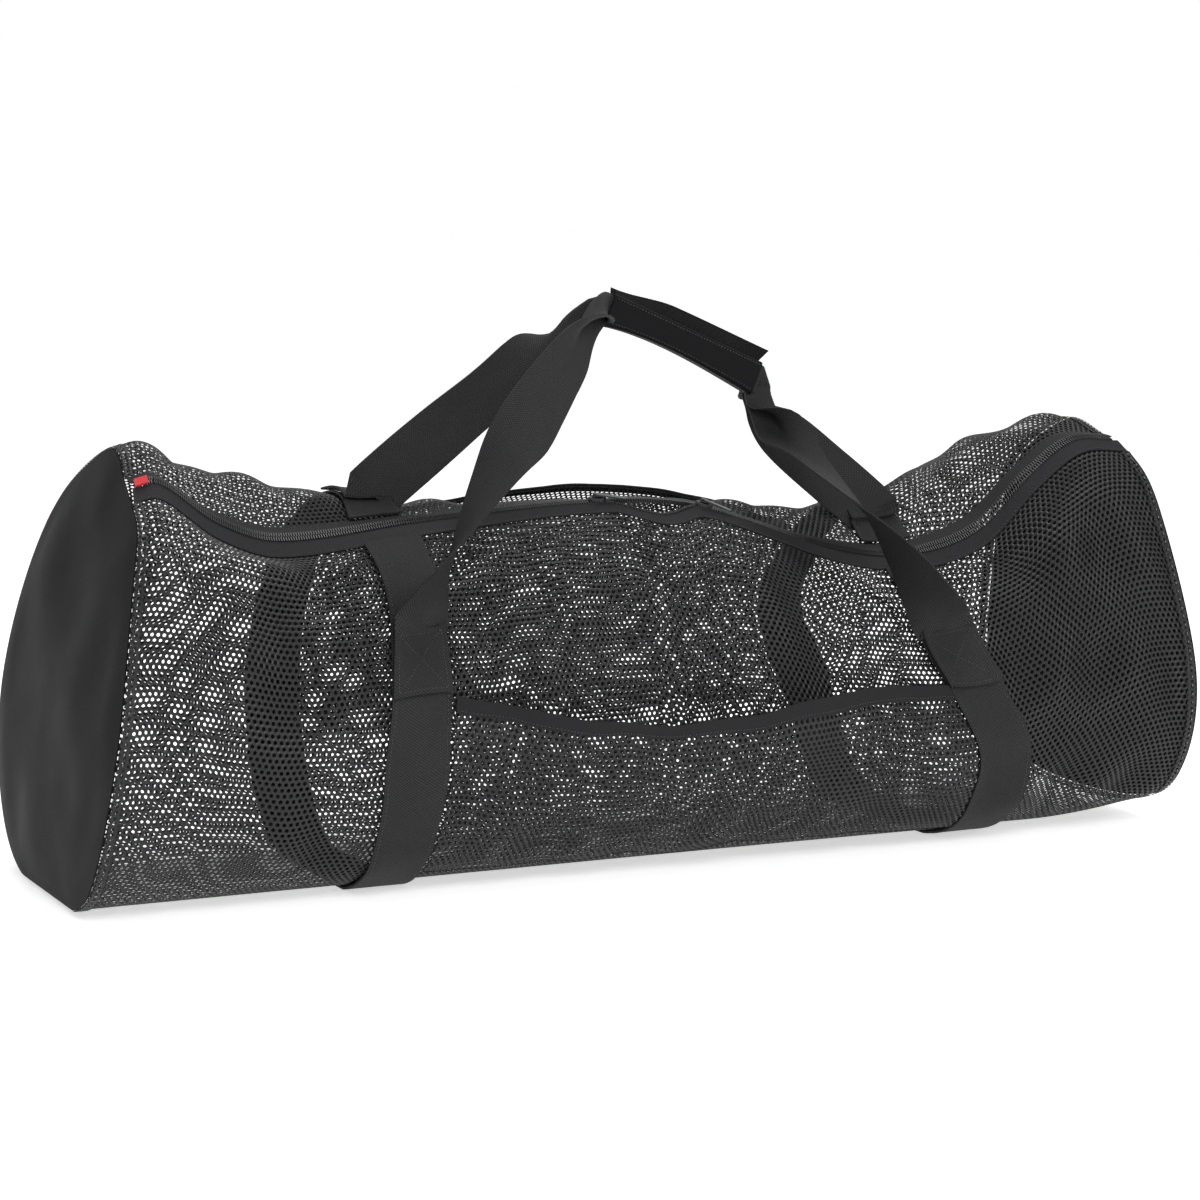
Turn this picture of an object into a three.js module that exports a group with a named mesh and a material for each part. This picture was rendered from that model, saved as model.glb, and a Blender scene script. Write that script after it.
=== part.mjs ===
// Mesh dive gear bag: a long net duffel with fabric ends, lying on its bottom.
// Millimetres, +Z up. X runs along the bag from its left end to its right end, and the side
// with the front pocket faces -Y. The bag stands on Z = 0.

import * as THREE from "three";

// Driving dimensions of the bag
const bagLength = 980;
const bagHeight = 355;
const bagDepth = 336;
const zipSetback = 62;
const ridgeSetback = 20;
const footDepth = 150;
const netWall = 2;
const clearance = 0.5;
const seatGap = 1.8;
const handleGap = 2.3;

// Net of the body and the pockets
const netPitch = 82;
const holeShare = 0.68;
const endGap = 0.4;
const bottomStart = 0.31;
const seamGap = 0.0004;

// Webbing
const webbingWidth = 50;
const webbingThickness = 1.8;
const leftStrapPlace = 245;
const rightStrapPlace = 295;
const rightStrapPull = 42;

// Zipper
const tapeWidth = 15;
const tapeThickness = 1;
const teethWidth = 4.8;
const teethHeight = 3.4;
const teethGap = 0.7;
const teethTilt = 15;
const frontTapeFall = 12;
const openStart = -36;
const openLength = 88;
const openWidth = 20;
const openDrop = 9;
const sliderLength = 14;
const sliderWidth = 11;
const sliderHeight = 4;
const pullerLength = 30;
const pullerWidth = 8;
const pullerThickness = 1.4;
const endTabLength = 11;
const endTabWidth = 10.6;

// Fabric ends
const panelThickness = 1.6;
const panelDome = 9;

// Front and rear pockets
const hemWidth = 12;
const hemThickness = 1.4;
const pocketWall = 1.6;
const pocketGap = 4;
const frontFootGap = 2.5;
const rearFootGap = 4.5;
const pocketSideGap = 3;
const frontHemHeight = 132;
const frontHemRiseLeft = 34;
const frontHemRiseRight = 14;
const frontPocketPuff = 22;
const frontPocketFoot = 20;
const rearHemDrop = 86;
const rearHemDip = 50;
const rearPocketPuff = 20;
const rearPocketFoot = 90;

// Handles and the grip wrap that joins them
const seatLength = 50;
const seatDropLeft = 95;
const seatDropRight = 77;
const seatDropRear = 26;
const gripLength = 152;
const gripHeight = 427;
const gripPlace = 69;
// How far the folded bands go on beyond each end of the wrap
const gripMargin = 4;
const gripTilt = 23.2;
const foldRadius = 2;
const wrapThickness = 1.6;
const flapHeight = 14;
const flapLean = 4;
const loopStripThickness = 1;
const loopStripWidth = 10;
const loopStripShare = 0.94;

const halfLength = bagLength / 2;
const halfDepth = bagDepth / 2;
const floorRise = netWall + seatGap + webbingThickness;
const strapOut = netWall + seatGap + webbingThickness / 2;
const teethSpan = (teethGap + clearance) / 2 + teethWidth;
const tapeSpan = tapeWidth + 2.5 * clearance;
const zipHalfWidth = teethSpan + tapeSpan;

// Sections of the bag from its left end to its right end. at is the place in shares of the half
// length. zip, ridge, shoulderUp, belly and lift are heights, and lean is the drift along the
// bag at full height, in shares of the bag's height. shoulderOut and reach are shares of the
// half depth.
const sectionColumns = [
  "at", "zip", "ridge", "shoulderOut", "shoulderUp", "reach", "belly", "lift", "lean",
];
const sections = [
  [-1.0, 0.922, 0.988, 0.73, 0.8, 1.0, 0.46, 0.0, 0.183],
  [-0.95, 0.93, 1.0, 0.74, 0.8, 1.0, 0.46, 0.0, 0.17],
  [-0.82, 0.838, 0.938, 0.76, 0.74, 1.0, 0.45, 0.0, 0.145],
  [-0.7, 0.795, 0.91, 0.77, 0.7, 1.0, 0.45, 0.0, 0.12],
  [-0.44, 0.82, 0.84, 0.78, 0.68, 1.0, 0.44, 0.0, 0.07],
  [-0.12, 0.845, 0.82, 0.78, 0.67, 0.98, 0.41, 0.0, 0.02],
  [0.1, 0.828, 0.815, 0.78, 0.64, 0.97, 0.37, 0.0, 0.0],
  [0.38, 0.713, 0.79, 0.79, 0.56, 0.97, 0.3, 0.0, -0.02],
  [0.53, 0.69, 0.797, 0.79, 0.54, 0.98, 0.28, 0.0, -0.034],
  [0.68, 0.74, 0.88, 0.78, 0.62, 0.99, 0.32, 0.0, -0.042],
  [0.8, 0.87, 0.945, 0.75, 0.74, 1.0, 0.36, 0.0, -0.05],
  [0.9, 0.95, 0.985, 0.73, 0.79, 1.0, 0.38, 0.012, -0.055],
  [1.0, 0.95, 0.984, 0.71, 0.8, 1.0, 0.4, 0.035, -0.056],
].map((row) => Object.fromEntries(row.map((value, k) => [sectionColumns[k], value])));

// Soft dents of the left fabric end: place across and up in shares of the half depth and the
// height, size in shares of the height, depth in shares of the dome.
const panelDents = [
  { across: -0.2, up: 0.66, size: 0.12, depth: 0.7 },
  { across: 0.35, up: 0.42, size: 0.15, depth: 0.8 },
  { across: -0.4, up: 0.26, size: 0.11, depth: 0.6 },
];

function smoothStep(low, high, value) {
  const t = Math.min(1, Math.max(0, (value - low) / (high - low)));
  return t * t * (3 - 2 * t);
}

function range(count, make) {
  return Array.from({ length: count }, (_, index) => make(index));
}

// Value of one column of a table at a place, on a smooth curve through its rows.
function track(rows, column, at) {
  const last = rows.length - 1;
  let i = 0;
  while (i < last - 1 && at > rows[i + 1].at) i += 1;
  const slope = (k) => {
    const from = rows[Math.max(0, k - 1)];
    const to = rows[Math.min(last, k + 1)];
    return (to[column] - from[column]) / (to.at - from.at);
  };
  const span = rows[i + 1].at - rows[i].at;
  const t = Math.min(1, Math.max(0, (at - rows[i].at) / span));
  const rise = rows[i + 1][column] - rows[i][column];
  const t2 = t * t;
  const t3 = t2 * t;
  return (
    rows[i][column] + rise * (3 * t2 - 2 * t3) +
    span * (slope(i) * (t3 - 2 * t2 + t) + slope(i + 1) * (t3 - t2))
  );
}

// How far the zipper stands open at a place along the bag, from 0 to 1.
function openShare(x) {
  const t = (x - openStart) / openLength;
  return t > 0 && t < 1 ? Math.sin(Math.PI * t) ** 1.5 : 0;
}

// Outline of the net at x in the plane across it, from the front tape over the front, the
// bottom and the rear to the rear tape, as a smooth curve.
function sectionCurve(x) {
  const at = x / halfLength;
  const get = (column) => track(sections, column, at);
  const zipHeight = get("zip") * bagHeight;
  const ridgeHeight = get("ridge") * bagHeight;
  const shoulderY = get("shoulderOut") * halfDepth;
  const shoulderZ = get("shoulderUp") * bagHeight;
  const reach = get("reach") * halfDepth;
  const bellyZ = get("belly") * bagHeight;
  const foot = footDepth / 2;
  const footZ = floorRise + get("lift") * bagHeight;
  const flankOut = 0.86;
  const flankUp = 0.36;
  const slope = 0.6 * Math.atan2(ridgeHeight - zipHeight, ridgeSetback + zipSetback);
  const wayAt = (extra) => {
    const angle = slope + THREE.MathUtils.degToRad(extra);
    return new THREE.Vector2(Math.cos(angle), Math.sin(angle));
  };
  const ways = { teeth: wayAt(teethTilt), front: wayAt(teethTilt + frontTapeFall), rear: wayAt(0) };
  const open = openShare(x);
  const middle = new THREE.Vector2(-zipSetback, zipHeight);
  const front = middle.clone()
    .addScaledVector(ways.teeth, -teethSpan)
    .addScaledVector(ways.front, -tapeSpan)
    .sub(new THREE.Vector2(open * openWidth, open * openDrop));
  const rear = middle.clone()
    .addScaledVector(ways.teeth, teethSpan)
    .addScaledVector(ways.rear, tapeSpan);
  const rearShoulderZ = shoulderZ + 0.4 * (ridgeHeight - zipHeight);
  const points = [
    front,
    new THREE.Vector2(-shoulderY, shoulderZ),
    new THREE.Vector2(-reach, bellyZ),
    new THREE.Vector2(-reach * flankOut, Math.max(bellyZ * flankUp, footZ + 1)),
    new THREE.Vector2(-foot, footZ),
    new THREE.Vector2(foot, footZ),
    new THREE.Vector2(reach * flankOut, Math.max(bellyZ * flankUp, footZ + 1)),
    new THREE.Vector2(reach, bellyZ),
    new THREE.Vector2(shoulderY, rearShoulderZ),
    new THREE.Vector2(ridgeSetback, ridgeHeight),
    rear,
  ];
  return { curve: new THREE.SplineCurve(points), front, rear, ways };
}

const netRowHeight = netPitch * Math.sqrt(3) / 2;
const netRows = Math.round(sectionCurve(0).curve.getLength() / netRowHeight);
const netColumns = Math.round(bagLength / netPitch);
const lineCount = 2 * netRows;

// Lines of the section at x, evenly spaced along it, with the way out at each.
function sectionLines(x) {
  const { curve, front, rear, ways } = sectionCurve(x);
  curve.arcLengthDivisions = 400;
  const points = curve.getSpacedPoints(lineCount);
  for (const point of points) point.y = Math.max(point.y, floorRise);
  const lean = track(sections, "lean", x / halfLength) * bagHeight;
  const lines = points.map((point, k) => {
    const before = points[Math.max(0, k - 1)];
    const after = points[Math.min(lineCount, k + 1)];
    const along = after.clone().sub(before).normalize();
    return { y: point.x, z: point.y, outY: along.y, outZ: -along.x };
  });
  return { x, lines, lean, length: curve.getLength(), front, rear, ways };
}

// The net's own lines across the bag: every other piece follows the flats between them.
const stations = range(2 * netColumns + 1, (i) => sectionLines((i / netColumns - 1) * halfLength));

function stationPoint(station, v, out) {
  const place = Math.min(1, Math.max(0, v)) * lineCount;
  const k = Math.min(lineCount - 1, Math.floor(place));
  const share = place - k;
  const at = (column, outColumn) => {
    const low = station.lines[k][column] + station.lines[k][outColumn] * out;
    const high = station.lines[k + 1][column] + station.lines[k + 1][outColumn] * out;
    return low + (high - low) * share;
  };
  return leaned(station, at("y", "outY"), at("z", "outZ"));
}

// Drift of the bag along X with height.
function leaned(station, y, z) {
  return new THREE.Vector3(station.x + station.lean * (z / bagHeight) ** 2, y, z);
}

// Value between the two stations beside x.
function between(x, atStation, mix) {
  const place = (x / halfLength + 1) * netColumns;
  const i = Math.min(stations.length - 2, Math.max(0, Math.floor(place)));
  return mix(atStation(stations[i]), atStation(stations[i + 1]), place - i);
}

const mixPoints = (a, b, share) => a.lerp(b, share);
const mixNumbers = (a, b, share) => a + (b - a) * share;

// Point of the bag's skin: v runs from 0 at the front tape to 1 at the rear tape, and out is
// the distance outwards from the net's inner face.
function skin(x, v, out = 0) {
  return between(x, (station) => stationPoint(station, v, out), mixPoints);
}

function sectionLength(x) {
  return between(x, (station) => station.length, mixNumbers);
}

// Point of the zipper inward from the net's front or rear edge, and up by out: over the tape
// first, then over the teeth, which lie at another slope.
function zipPoint(x, side, inward, out) {
  const way = side === "front" ? 1 : -1;
  const overTape = Math.min(inward, tapeSpan) * way;
  const overTeeth = Math.max(0, inward - tapeSpan) * way;
  const atStation = (station) => {
    const face = inward > tapeSpan ? station.ways.teeth : station.ways[side];
    const point = station[side].clone()
      .addScaledVector(station.ways[side], overTape)
      .addScaledVector(station.ways.teeth, overTeeth);
    return leaned(station, point.x - face.y * out, point.y + face.x * out);
  };
  return between(x, atStation, mixPoints);
}

// Share v at which the front or the rear comes down to a height.
function shareAtHeight(x, height, side) {
  const steps = 4 * lineCount;
  const order = range(steps / 2, (k) => (side === "front" ? k / steps : 1 - k / steps));
  const rear = order.findIndex((v) => side === "front" || skin(x, v).y > halfDepth / 2);
  const found = order.findIndex((v, k) => k >= rear && skin(x, v).z < height);
  return order[found];
}

function shareAtDrop(x, drop, side) {
  const share = drop / sectionLength(x);
  return side === "front" ? share : 1 - share;
}

// Closed body from shared points, with its faces pointing outwards.
function closedMesh(points, faces) {
  const cross = new THREE.Vector3();
  const volume = faces.reduce(
    (sum, [a, b, c]) => sum + points[a].dot(cross.crossVectors(points[b], points[c])),
    0,
  );
  const turned = volume > 0 ? faces : faces.map(([a, b, c]) => [a, c, b]);
  const geometry = new THREE.BufferGeometry();
  const numbers = points.flatMap((point) => point.toArray());
  geometry.setAttribute("position", new THREE.Float32BufferAttribute(numbers, 3));
  geometry.setIndex(turned.flat());
  geometry.computeVertexNormals();
  return geometry;
}

// Sheet of even grids: outer and inner are rows of points, closed round all four edges.
function slab(rowCount, columnCount, point) {
  const points = [];
  const index = (side, row, column) => (side * rowCount + row) * columnCount + column;
  for (const side of [0, 1]) {
    for (let row = 0; row < rowCount; row += 1) {
      for (let column = 0; column < columnCount; column += 1) {
        points.push(point(row, column, side));
      }
    }
  }
  const faces = [];
  const quad = (a, b, c, d) => faces.push([a, b, c], [a, c, d]);
  for (let row = 0; row < rowCount - 1; row += 1) {
    for (let column = 0; column < columnCount - 1; column += 1) {
      quad(
        index(0, row, column), index(0, row + 1, column),
        index(0, row + 1, column + 1), index(0, row, column + 1),
      );
      quad(
        index(1, row, column), index(1, row, column + 1),
        index(1, row + 1, column + 1), index(1, row + 1, column),
      );
    }
  }
  for (let row = 0; row < rowCount - 1; row += 1) {
    const end = columnCount - 1;
    quad(index(0, row, 0), index(1, row, 0), index(1, row + 1, 0), index(0, row + 1, 0));
    quad(index(0, row, end), index(0, row + 1, end), index(1, row + 1, end), index(1, row, end));
  }
  for (let column = 0; column < columnCount - 1; column += 1) {
    const end = rowCount - 1;
    quad(index(0, 0, column), index(0, 0, column + 1), index(1, 0, column + 1), index(1, 0, column));
    quad(
      index(0, end, column), index(1, end, column),
      index(1, end, column + 1), index(0, end, column + 1),
    );
  }
  return closedMesh(points, faces);
}

// Net with holes in brick order: point(a, b, side) gives the sheet at shares a along it and b
// across it, and hasHole says which cells are cut through. Only the rows from first to last are
// built.
function net(columns, rows, point, hasHole, first = 0, last = rows) {
  const points = [];
  const faces = [];
  const shared = new Map();
  const vertex = (i, k, side) => {
    const key = `${i} ${k} ${side}`;
    if (!shared.has(key)) {
      shared.set(key, points.length);
      points.push(point(i / (2 * columns), k / (2 * rows), side));
    }
    return shared.get(key);
  };
  const quad = (a, b, c, d) => faces.push([a, b, c], [a, c, d]);
  const wall = (from, to) => quad(
    vertex(...from, 0), vertex(...to, 0), vertex(...to, 1), vertex(...from, 1),
  );
  const holeTop = holeShare * 4 / 3;
  const holeCorners = [
    [-holeShare, -holeTop / 2], [0, -holeTop], [holeShare, -holeTop / 2], [holeShare, 0],
    [holeShare, holeTop / 2], [0, holeTop], [-holeShare, holeTop / 2], [-holeShare, 0],
  ];
  const rims = [[-1, -1], [0, -1], [1, -1], [1, 0], [1, 1], [0, 1], [-1, 1], [-1, 0]];
  const fullCell = (i, k, open) => {
    const rim = [0, 1].map((side) => rims.map(([a, b]) => vertex(i + a, k + b, side)));
    const inner = [0, 1].map((side) => {
      if (!open) return rims.map(() => vertex(i, k, side));
      return holeCorners.map(([a, b]) => {
        points.push(point((i + a) / (2 * columns), (k + b) / (2 * rows), side));
        return points.length - 1;
      });
    });
    for (let n = 0; n < rims.length; n += 1) {
      const m = (n + 1) % rims.length;
      faces.push([rim[0][n], rim[0][m], inner[0][m]]);
      faces.push([rim[1][n], inner[1][m], rim[1][m]]);
      if (open) {
        faces.push([rim[0][n], inner[0][m], inner[0][n]]);
        faces.push([rim[1][n], inner[1][n], inner[1][m]]);
        quad(inner[0][n], inner[0][m], inner[1][m], inner[1][n]);
      }
    }
  };
  const halfCell = (i, k) => {
    for (const step of [0, 1]) {
      const low = k + step;
      quad(vertex(i, low, 0), vertex(i + 1, low, 0), vertex(i + 1, low + 1, 0), vertex(i, low + 1, 0));
      quad(vertex(i, low, 1), vertex(i, low + 1, 1), vertex(i + 1, low + 1, 1), vertex(i + 1, low, 1));
    }
  };
  for (let row = first; row < last; row += 1) {
    const shift = row % 2;
    for (let column = 0; column < columns - shift; column += 1) {
      const i = 2 * column + 1 + shift;
      fullCell(i, 2 * row + 1, hasHole(i / (2 * columns), (2 * row + 1) / (2 * rows)));
    }
    if (shift) {
      halfCell(0, 2 * row);
      halfCell(2 * columns - 1, 2 * row);
    }
  }
  for (let k = 2 * first; k < 2 * last; k += 1) {
    wall([0, k], [0, k + 1]);
    wall([2 * columns, k + 1], [2 * columns, k]);
  }
  for (let i = 0; i < 2 * columns; i += 1) {
    wall([i + 1, 2 * first], [i, 2 * first]);
    wall([i, 2 * last], [i + 1, 2 * last]);
  }
  return closedMesh(points, faces);
}

const finishes = {
  net: { color: 0x1c1c1e, roughness: 0.75, metalness: 0 },
  webbing: { color: 0x262628, roughness: 0.7, metalness: 0 },
  fabric: { color: 0x141416, roughness: 0.65, metalness: 0 },
  tape: { color: 0x1d1d1f, roughness: 0.75, metalness: 0 },
  coil: { color: 0x17171a, roughness: 0.45, metalness: 0 },
  slider: { color: 0x1a1a1c, roughness: 0.4, metalness: 0.6 },
  redTab: { color: 0xc4202a, roughness: 0.6, metalness: 0 },
  loopPile: { color: 0x101012, roughness: 0.95, metalness: 0 },
};

const bag = new THREE.Group();

function addPiece(name, geometry, finish, place = bag) {
  const mesh = new THREE.Mesh(geometry, new THREE.MeshStandardMaterial(finishes[finish]));
  mesh.name = name;
  place.add(mesh);
  return mesh;
}

// Straps: bands of webbing from the front tape under the bag to the rear tape
const straps = {
  left: { place: -leftStrapPlace, pull: 0 },
  right: { place: rightStrapPlace, pull: rightStrapPull },
};

function strapMiddle(strap, v) {
  const height = skin(strap.place, v).z / bagHeight;
  return strap.place - strap.pull * smoothStep(0.2, 0.55, height);
}

// Where a net cell would lie under a strap it stays whole.
function underStrap(x, v) {
  return Object.values(straps).some(
    (strap) => Math.abs(x - strapMiddle(strap, v)) < webbingWidth / 2 + netPitch * 0.12,
  );
}

// The body's net is built as a front wall, a bottom and a rear wall that meet at hairline gaps.
function addBody() {
  const onFloor = (x, v) => skin(x, v).z < floorRise + 12;
  const hasHole = (a, b) => {
    const x = (a - 0.5) * bagLength;
    return !onFloor(x, b) && !underStrap(x, b) && b > 1 / lineCount && b < 1 - 1 / lineCount;
  };
  const bottomFirst = Math.round(netRows * bottomStart);
  const bottomLast = netRows - bottomFirst;
  const parts = [
    ["mesh_front", 0, bottomFirst], ["mesh_bottom", bottomFirst, bottomLast],
    ["mesh_rear", bottomLast, netRows],
  ];
  for (const [name, first, last] of parts) {
    const low = first / netRows + (first > 0 ? seamGap / 2 : 0);
    const high = last / netRows - (last < netRows ? seamGap / 2 : 0);
    const cell = (a, b, side) => (
      skin((a - 0.5) * bagLength, Math.min(high, Math.max(low, b)), side === 0 ? netWall : 0)
    );
    addPiece(name, net(netColumns, netRows, cell, hasHole, first, last), "net");
  }
}

// Fabric end: a disc that closes the section, domed outwards, with its rim against the net.
function addEndPanel(name, direction, dents) {
  const station = stations[direction < 0 ? 0 : stations.length - 1];
  const rim = range(lineCount + 1, (k) => stationPoint(station, k / lineCount, netWall));
  const middle = new THREE.Vector3();
  for (const point of rim) middle.addScaledVector(point, 1 / rim.length);
  const rings = [1, 0.86, 0.6, 0.32];
  const surface = (share, k, side) => {
    const y = middle.y + (rim[k].y - middle.y) * share;
    const z = middle.z + (rim[k].z - middle.z) * share;
    let swell = panelDome * (1 - share ** 3);
    for (const dent of dents) {
      const away = Math.hypot(y - dent.across * halfDepth, z - dent.up * bagHeight);
      swell -= dent.depth * panelDome * Math.exp(-((away / (dent.size * bagHeight)) ** 2));
    }
    const out = endGap + Math.max(0, swell) + (side === 0 ? panelThickness : 0);
    const point = leaned(station, y, z);
    point.x += direction * out;
    return point;
  };
  const points = [];
  const faces = [];
  const turn = rim.length;
  for (const side of [0, 1]) {
    for (const share of rings) {
      for (let k = 0; k < turn; k += 1) points.push(surface(share, k, side));
    }
    points.push(surface(0, 0, side));
  }
  const block = rings.length * turn + 1;
  const flip = (side, a, b, c) => faces.push(side === 0 ? [a, b, c] : [a, c, b]);
  for (const side of [0, 1]) {
    const start = side * block;
    for (let k = 0; k < turn; k += 1) {
      const next = (k + 1) % turn;
      for (let ring = 0; ring < rings.length - 1; ring += 1) {
        const a = start + ring * turn;
        flip(side, a + k, a + next, a + turn + next);
        flip(side, a + k, a + turn + next, a + turn + k);
      }
      const a = start + (rings.length - 1) * turn;
      flip(side, a + k, a + next, start + block - 1);
    }
  }
  for (let k = 0; k < turn; k += 1) {
    const next = (k + 1) % turn;
    faces.push([k, block + k, block + next], [k, block + next, next]);
  }
  addPiece(name, closedMesh(points, faces), "fabric");
}

// Shares v from one place to another, with each line of the section between them.
function stopsBetween(from, to) {
  const inside = range(lineCount + 1, (k) => k / lineCount);
  const margin = 0.1 / lineCount;
  return [from, ...inside.filter((v) => v > from + margin && v < to - margin), to];
}

// Places along the bag of a strap's two edges and of the net's own lines between them
function strapPlaces(strap, v) {
  const middle = strapMiddle(strap, v);
  const step = halfLength / netColumns;
  const line = Math.floor((strap.place - strap.pull) / step);
  const half = webbingWidth / 2;
  const inside = (x, low, high) => Math.min(middle + high, Math.max(middle + low, x));
  return [
    middle - half,
    inside(line * step, 1 - half, half - 2),
    inside((line + 1) * step, 2 - half, half - 1),
    middle + half,
  ];
}

function addStrap(name, strap) {
  const stops = stopsBetween(0, 1);
  const geometry = slab(stops.length, 4, (row, column, side) => {
    const v = stops[row];
    return skin(strapPlaces(strap, v)[column], v, strapOut + (0.5 - side) * webbingThickness);
  });
  addPiece(name, geometry, "webbing");
}

// Zipper tapes beside the net's edges, and a run of teeth on each
function addZipper() {
  for (const side of ["front", "rear"]) {
    const tape = slab(stations.length, 2, (row, column, face) => {
      const inward = 2 * clearance + column * tapeWidth;
      return zipPoint(stations[row].x, side, inward, tapeThickness * (1 - face) + netWall / 2);
    });
    addPiece(`zip_tape_${side}`, tape, "tape");
    const teeth = slab(stations.length, 2, (row, column, face) => {
      const inward = 3 * clearance + tapeWidth + column * teethWidth;
      const out = (netWall + tapeThickness) / 2 + (0.5 - face) * teethHeight;
      return zipPoint(stations[row].x, side, inward, out);
    });
    addPiece(`zip_teeth_${side}`, teeth, "coil");
  }
}

// Frame of the closed zipper at x: along the bag, across the zipper and up from it
function zipFrame(x) {
  const middle = zipPoint(x, "front", zipHalfWidth, 0);
  const ahead = zipPoint(x + 5, "front", zipHalfWidth, 0);
  const across = zipPoint(x, "front", zipHalfWidth + 5, 0).sub(middle).normalize();
  const up = new THREE.Vector3().crossVectors(ahead.sub(middle), across).normalize();
  const along = new THREE.Vector3().crossVectors(across, up);
  return { middle, along, across, up };
}

const zipTop = (netWall + tapeThickness + teethHeight) / 2 + 2 * clearance;

// Slider: a plate that narrows to one end, with a raised bridge, lying on the closed teeth. The
// puller hangs from its bridge and lies along the zipper.
function addSlider(name, x, direction) {
  const { middle, along, across, up } = zipFrame(x);
  const place = new THREE.Group();
  place.position.copy(middle).addScaledVector(up, zipTop);
  place.quaternion.setFromRotationMatrix(new THREE.Matrix4().makeBasis(along, across, up));
  bag.add(place);
  const half = sliderWidth / 2;
  const narrow = half * 0.55;
  const plate = new THREE.Shape();
  plate.moveTo(-direction * sliderLength / 2, -narrow);
  plate.lineTo(direction * sliderLength * 0.2, -half);
  plate.lineTo(direction * sliderLength / 2, -half * 0.5);
  plate.lineTo(direction * sliderLength / 2, half * 0.5);
  plate.lineTo(direction * sliderLength * 0.2, half);
  plate.lineTo(-direction * sliderLength / 2, narrow);
  plate.closePath();
  const body = new THREE.ExtrudeGeometry(plate, { depth: sliderHeight, bevelEnabled: false });
  addPiece(`slider_${name}`, body, "slider", place);
  const tab = new THREE.Shape();
  const round = pullerWidth / 2;
  tab.absarc(round, 0, round, Math.PI / 2, 1.5 * Math.PI, false);
  tab.absarc(pullerLength - round, 0, round, -Math.PI / 2, Math.PI / 2, false);
  tab.closePath();
  const hole = new THREE.Path();
  hole.absarc(pullerLength - round, 0, round * 0.45, 0, 2 * Math.PI, true);
  tab.holes.push(hole);
  const options = { depth: pullerThickness, bevelEnabled: false, curveSegments: 4 };
  const puller = addPiece(`puller_${name}`, new THREE.ExtrudeGeometry(tab, options), "slider", place);
  puller.position.set(-sliderLength * 0.3, 0, sliderHeight + clearance);
  puller.rotation.z = -0.12;
}

// Red tab folded over the zipper's left end
function addEndTab() {
  const out = (netWall + tapeThickness + teethHeight) / 2 + clearance;
  const geometry = slab(2, 2, (row, column, side) => {
    const x = -halfLength + 2 + row * endTabLength;
    const inward = zipHalfWidth + (column - 0.5) * endTabWidth;
    return zipPoint(x, "front", inward, out + (1 - side) * panelThickness);
  });
  addPiece("zip_end_tab", geometry, "redTab");
}

// Pockets: net sheets between the straps, standing off the bag at the hem
const pockets = {
  front: {
    side: "front",
    puff: frontPocketPuff,
    footGap: frontFootGap,
    hem: (x, a) => {
      const rise = a < 0.5 ? frontHemRiseLeft : frontHemRiseRight;
      return shareAtHeight(x, frontHemHeight + rise * (1 - 2 * a) ** 2, "front");
    },
    foot: (x) => shareAtHeight(x, frontPocketFoot, "front"),
  },
  rear: {
    side: "rear",
    puff: rearPocketPuff,
    footGap: rearFootGap,
    hem: (x, a) => shareAtDrop(x, rearHemDrop + rearHemDip * (1 - 2 * a) ** 2, "rear"),
    foot: (x) => shareAtHeight(x, rearPocketFoot, "rear"),
  },
};

function pocketPoint(pocket, a, b, out) {
  const sideGap = webbingWidth / 2 + pocketSideGap;
  const guess = mixNumbers(-leftStrapPlace, rightStrapPlace, a);
  const v = mixNumbers(pocket.hem(guess, a), pocket.foot(guess), b);
  const from = strapMiddle(straps.left, v) + sideGap;
  const to = strapMiddle(straps.right, v) - sideGap;
  const swell = pocket.puff * Math.sin(Math.PI * a) * (1 - b) ** 1.2;
  const gap = mixNumbers(pocketGap, pocket.footGap, b);
  return skin(mixNumbers(from, to, a), v, netWall + gap + swell + out);
}

function addPocket(name, pocket, columns, rows) {
  const sheet = (a, b, side) => pocketPoint(pocket, a, b, (1 - side) * pocketWall);
  addPiece(`${name}_pocket`, net(columns, rows, sheet, () => true), "net");
  const hem = slab(2 * columns + 1, 2, (row, column, side) => {
    const out = pocketWall + seatGap + (1 - side) * hemThickness;
    const top = pocketPoint(pocket, row / (2 * columns), 0, out);
    const below = pocketPoint(pocket, row / (2 * columns), 1 / (2 * rows), out);
    return top.lerp(below, column * hemWidth / top.distanceTo(below));
  });
  addPiece(`${name}_pocket_hem`, hem, "webbing");
}

// Least fold that the cross section of a handle is worked out with
const flatFold = 0.001;

// Cross section of a handle, folded lengthwise by a share of half a turn (towards its back when
// negative): place across and out of the band and the way out of its face, at a distance from
// its middle.
function bandSection(distance, fold) {
  const bend = Math.PI * foldRadius;
  const turn = (fold < 0 ? -1 : 1) * Math.max(Math.abs(fold), flatFold) * Math.PI;
  const radius = bend / turn;
  const angle = turn * Math.min(0.5, Math.max(-0.5, distance / bend));
  const beyond = Math.sign(distance) * Math.max(0, Math.abs(distance) - bend / 2);
  const flank = (webbingWidth - bend) / 2 * Math.sin(turn / 2);
  const fullHeight = flank + radius * (1 - Math.cos(turn / 2));
  return {
    across: radius * Math.sin(angle) + beyond * Math.cos(angle),
    out: radius * (1 - Math.cos(angle)) + beyond * Math.sin(angle) - fullHeight / 2,
    outAcross: -Math.sin(angle),
    outOut: Math.cos(angle),
  };
}

// Row of a band: gives the point at a distance from its middle line, raised along its face
function bandRow(middle, across, out, fold, along = null, skew = 0) {
  return (distance, rise) => {
    const section = bandSection(distance, fold);
    const place = middle.clone();
    if (along) place.addScaledVector(along, skew * distance);
    return place
      .addScaledVector(across, section.across + section.outAcross * rise)
      .addScaledVector(out, section.out + section.outOut * rise);
  };
}

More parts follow.
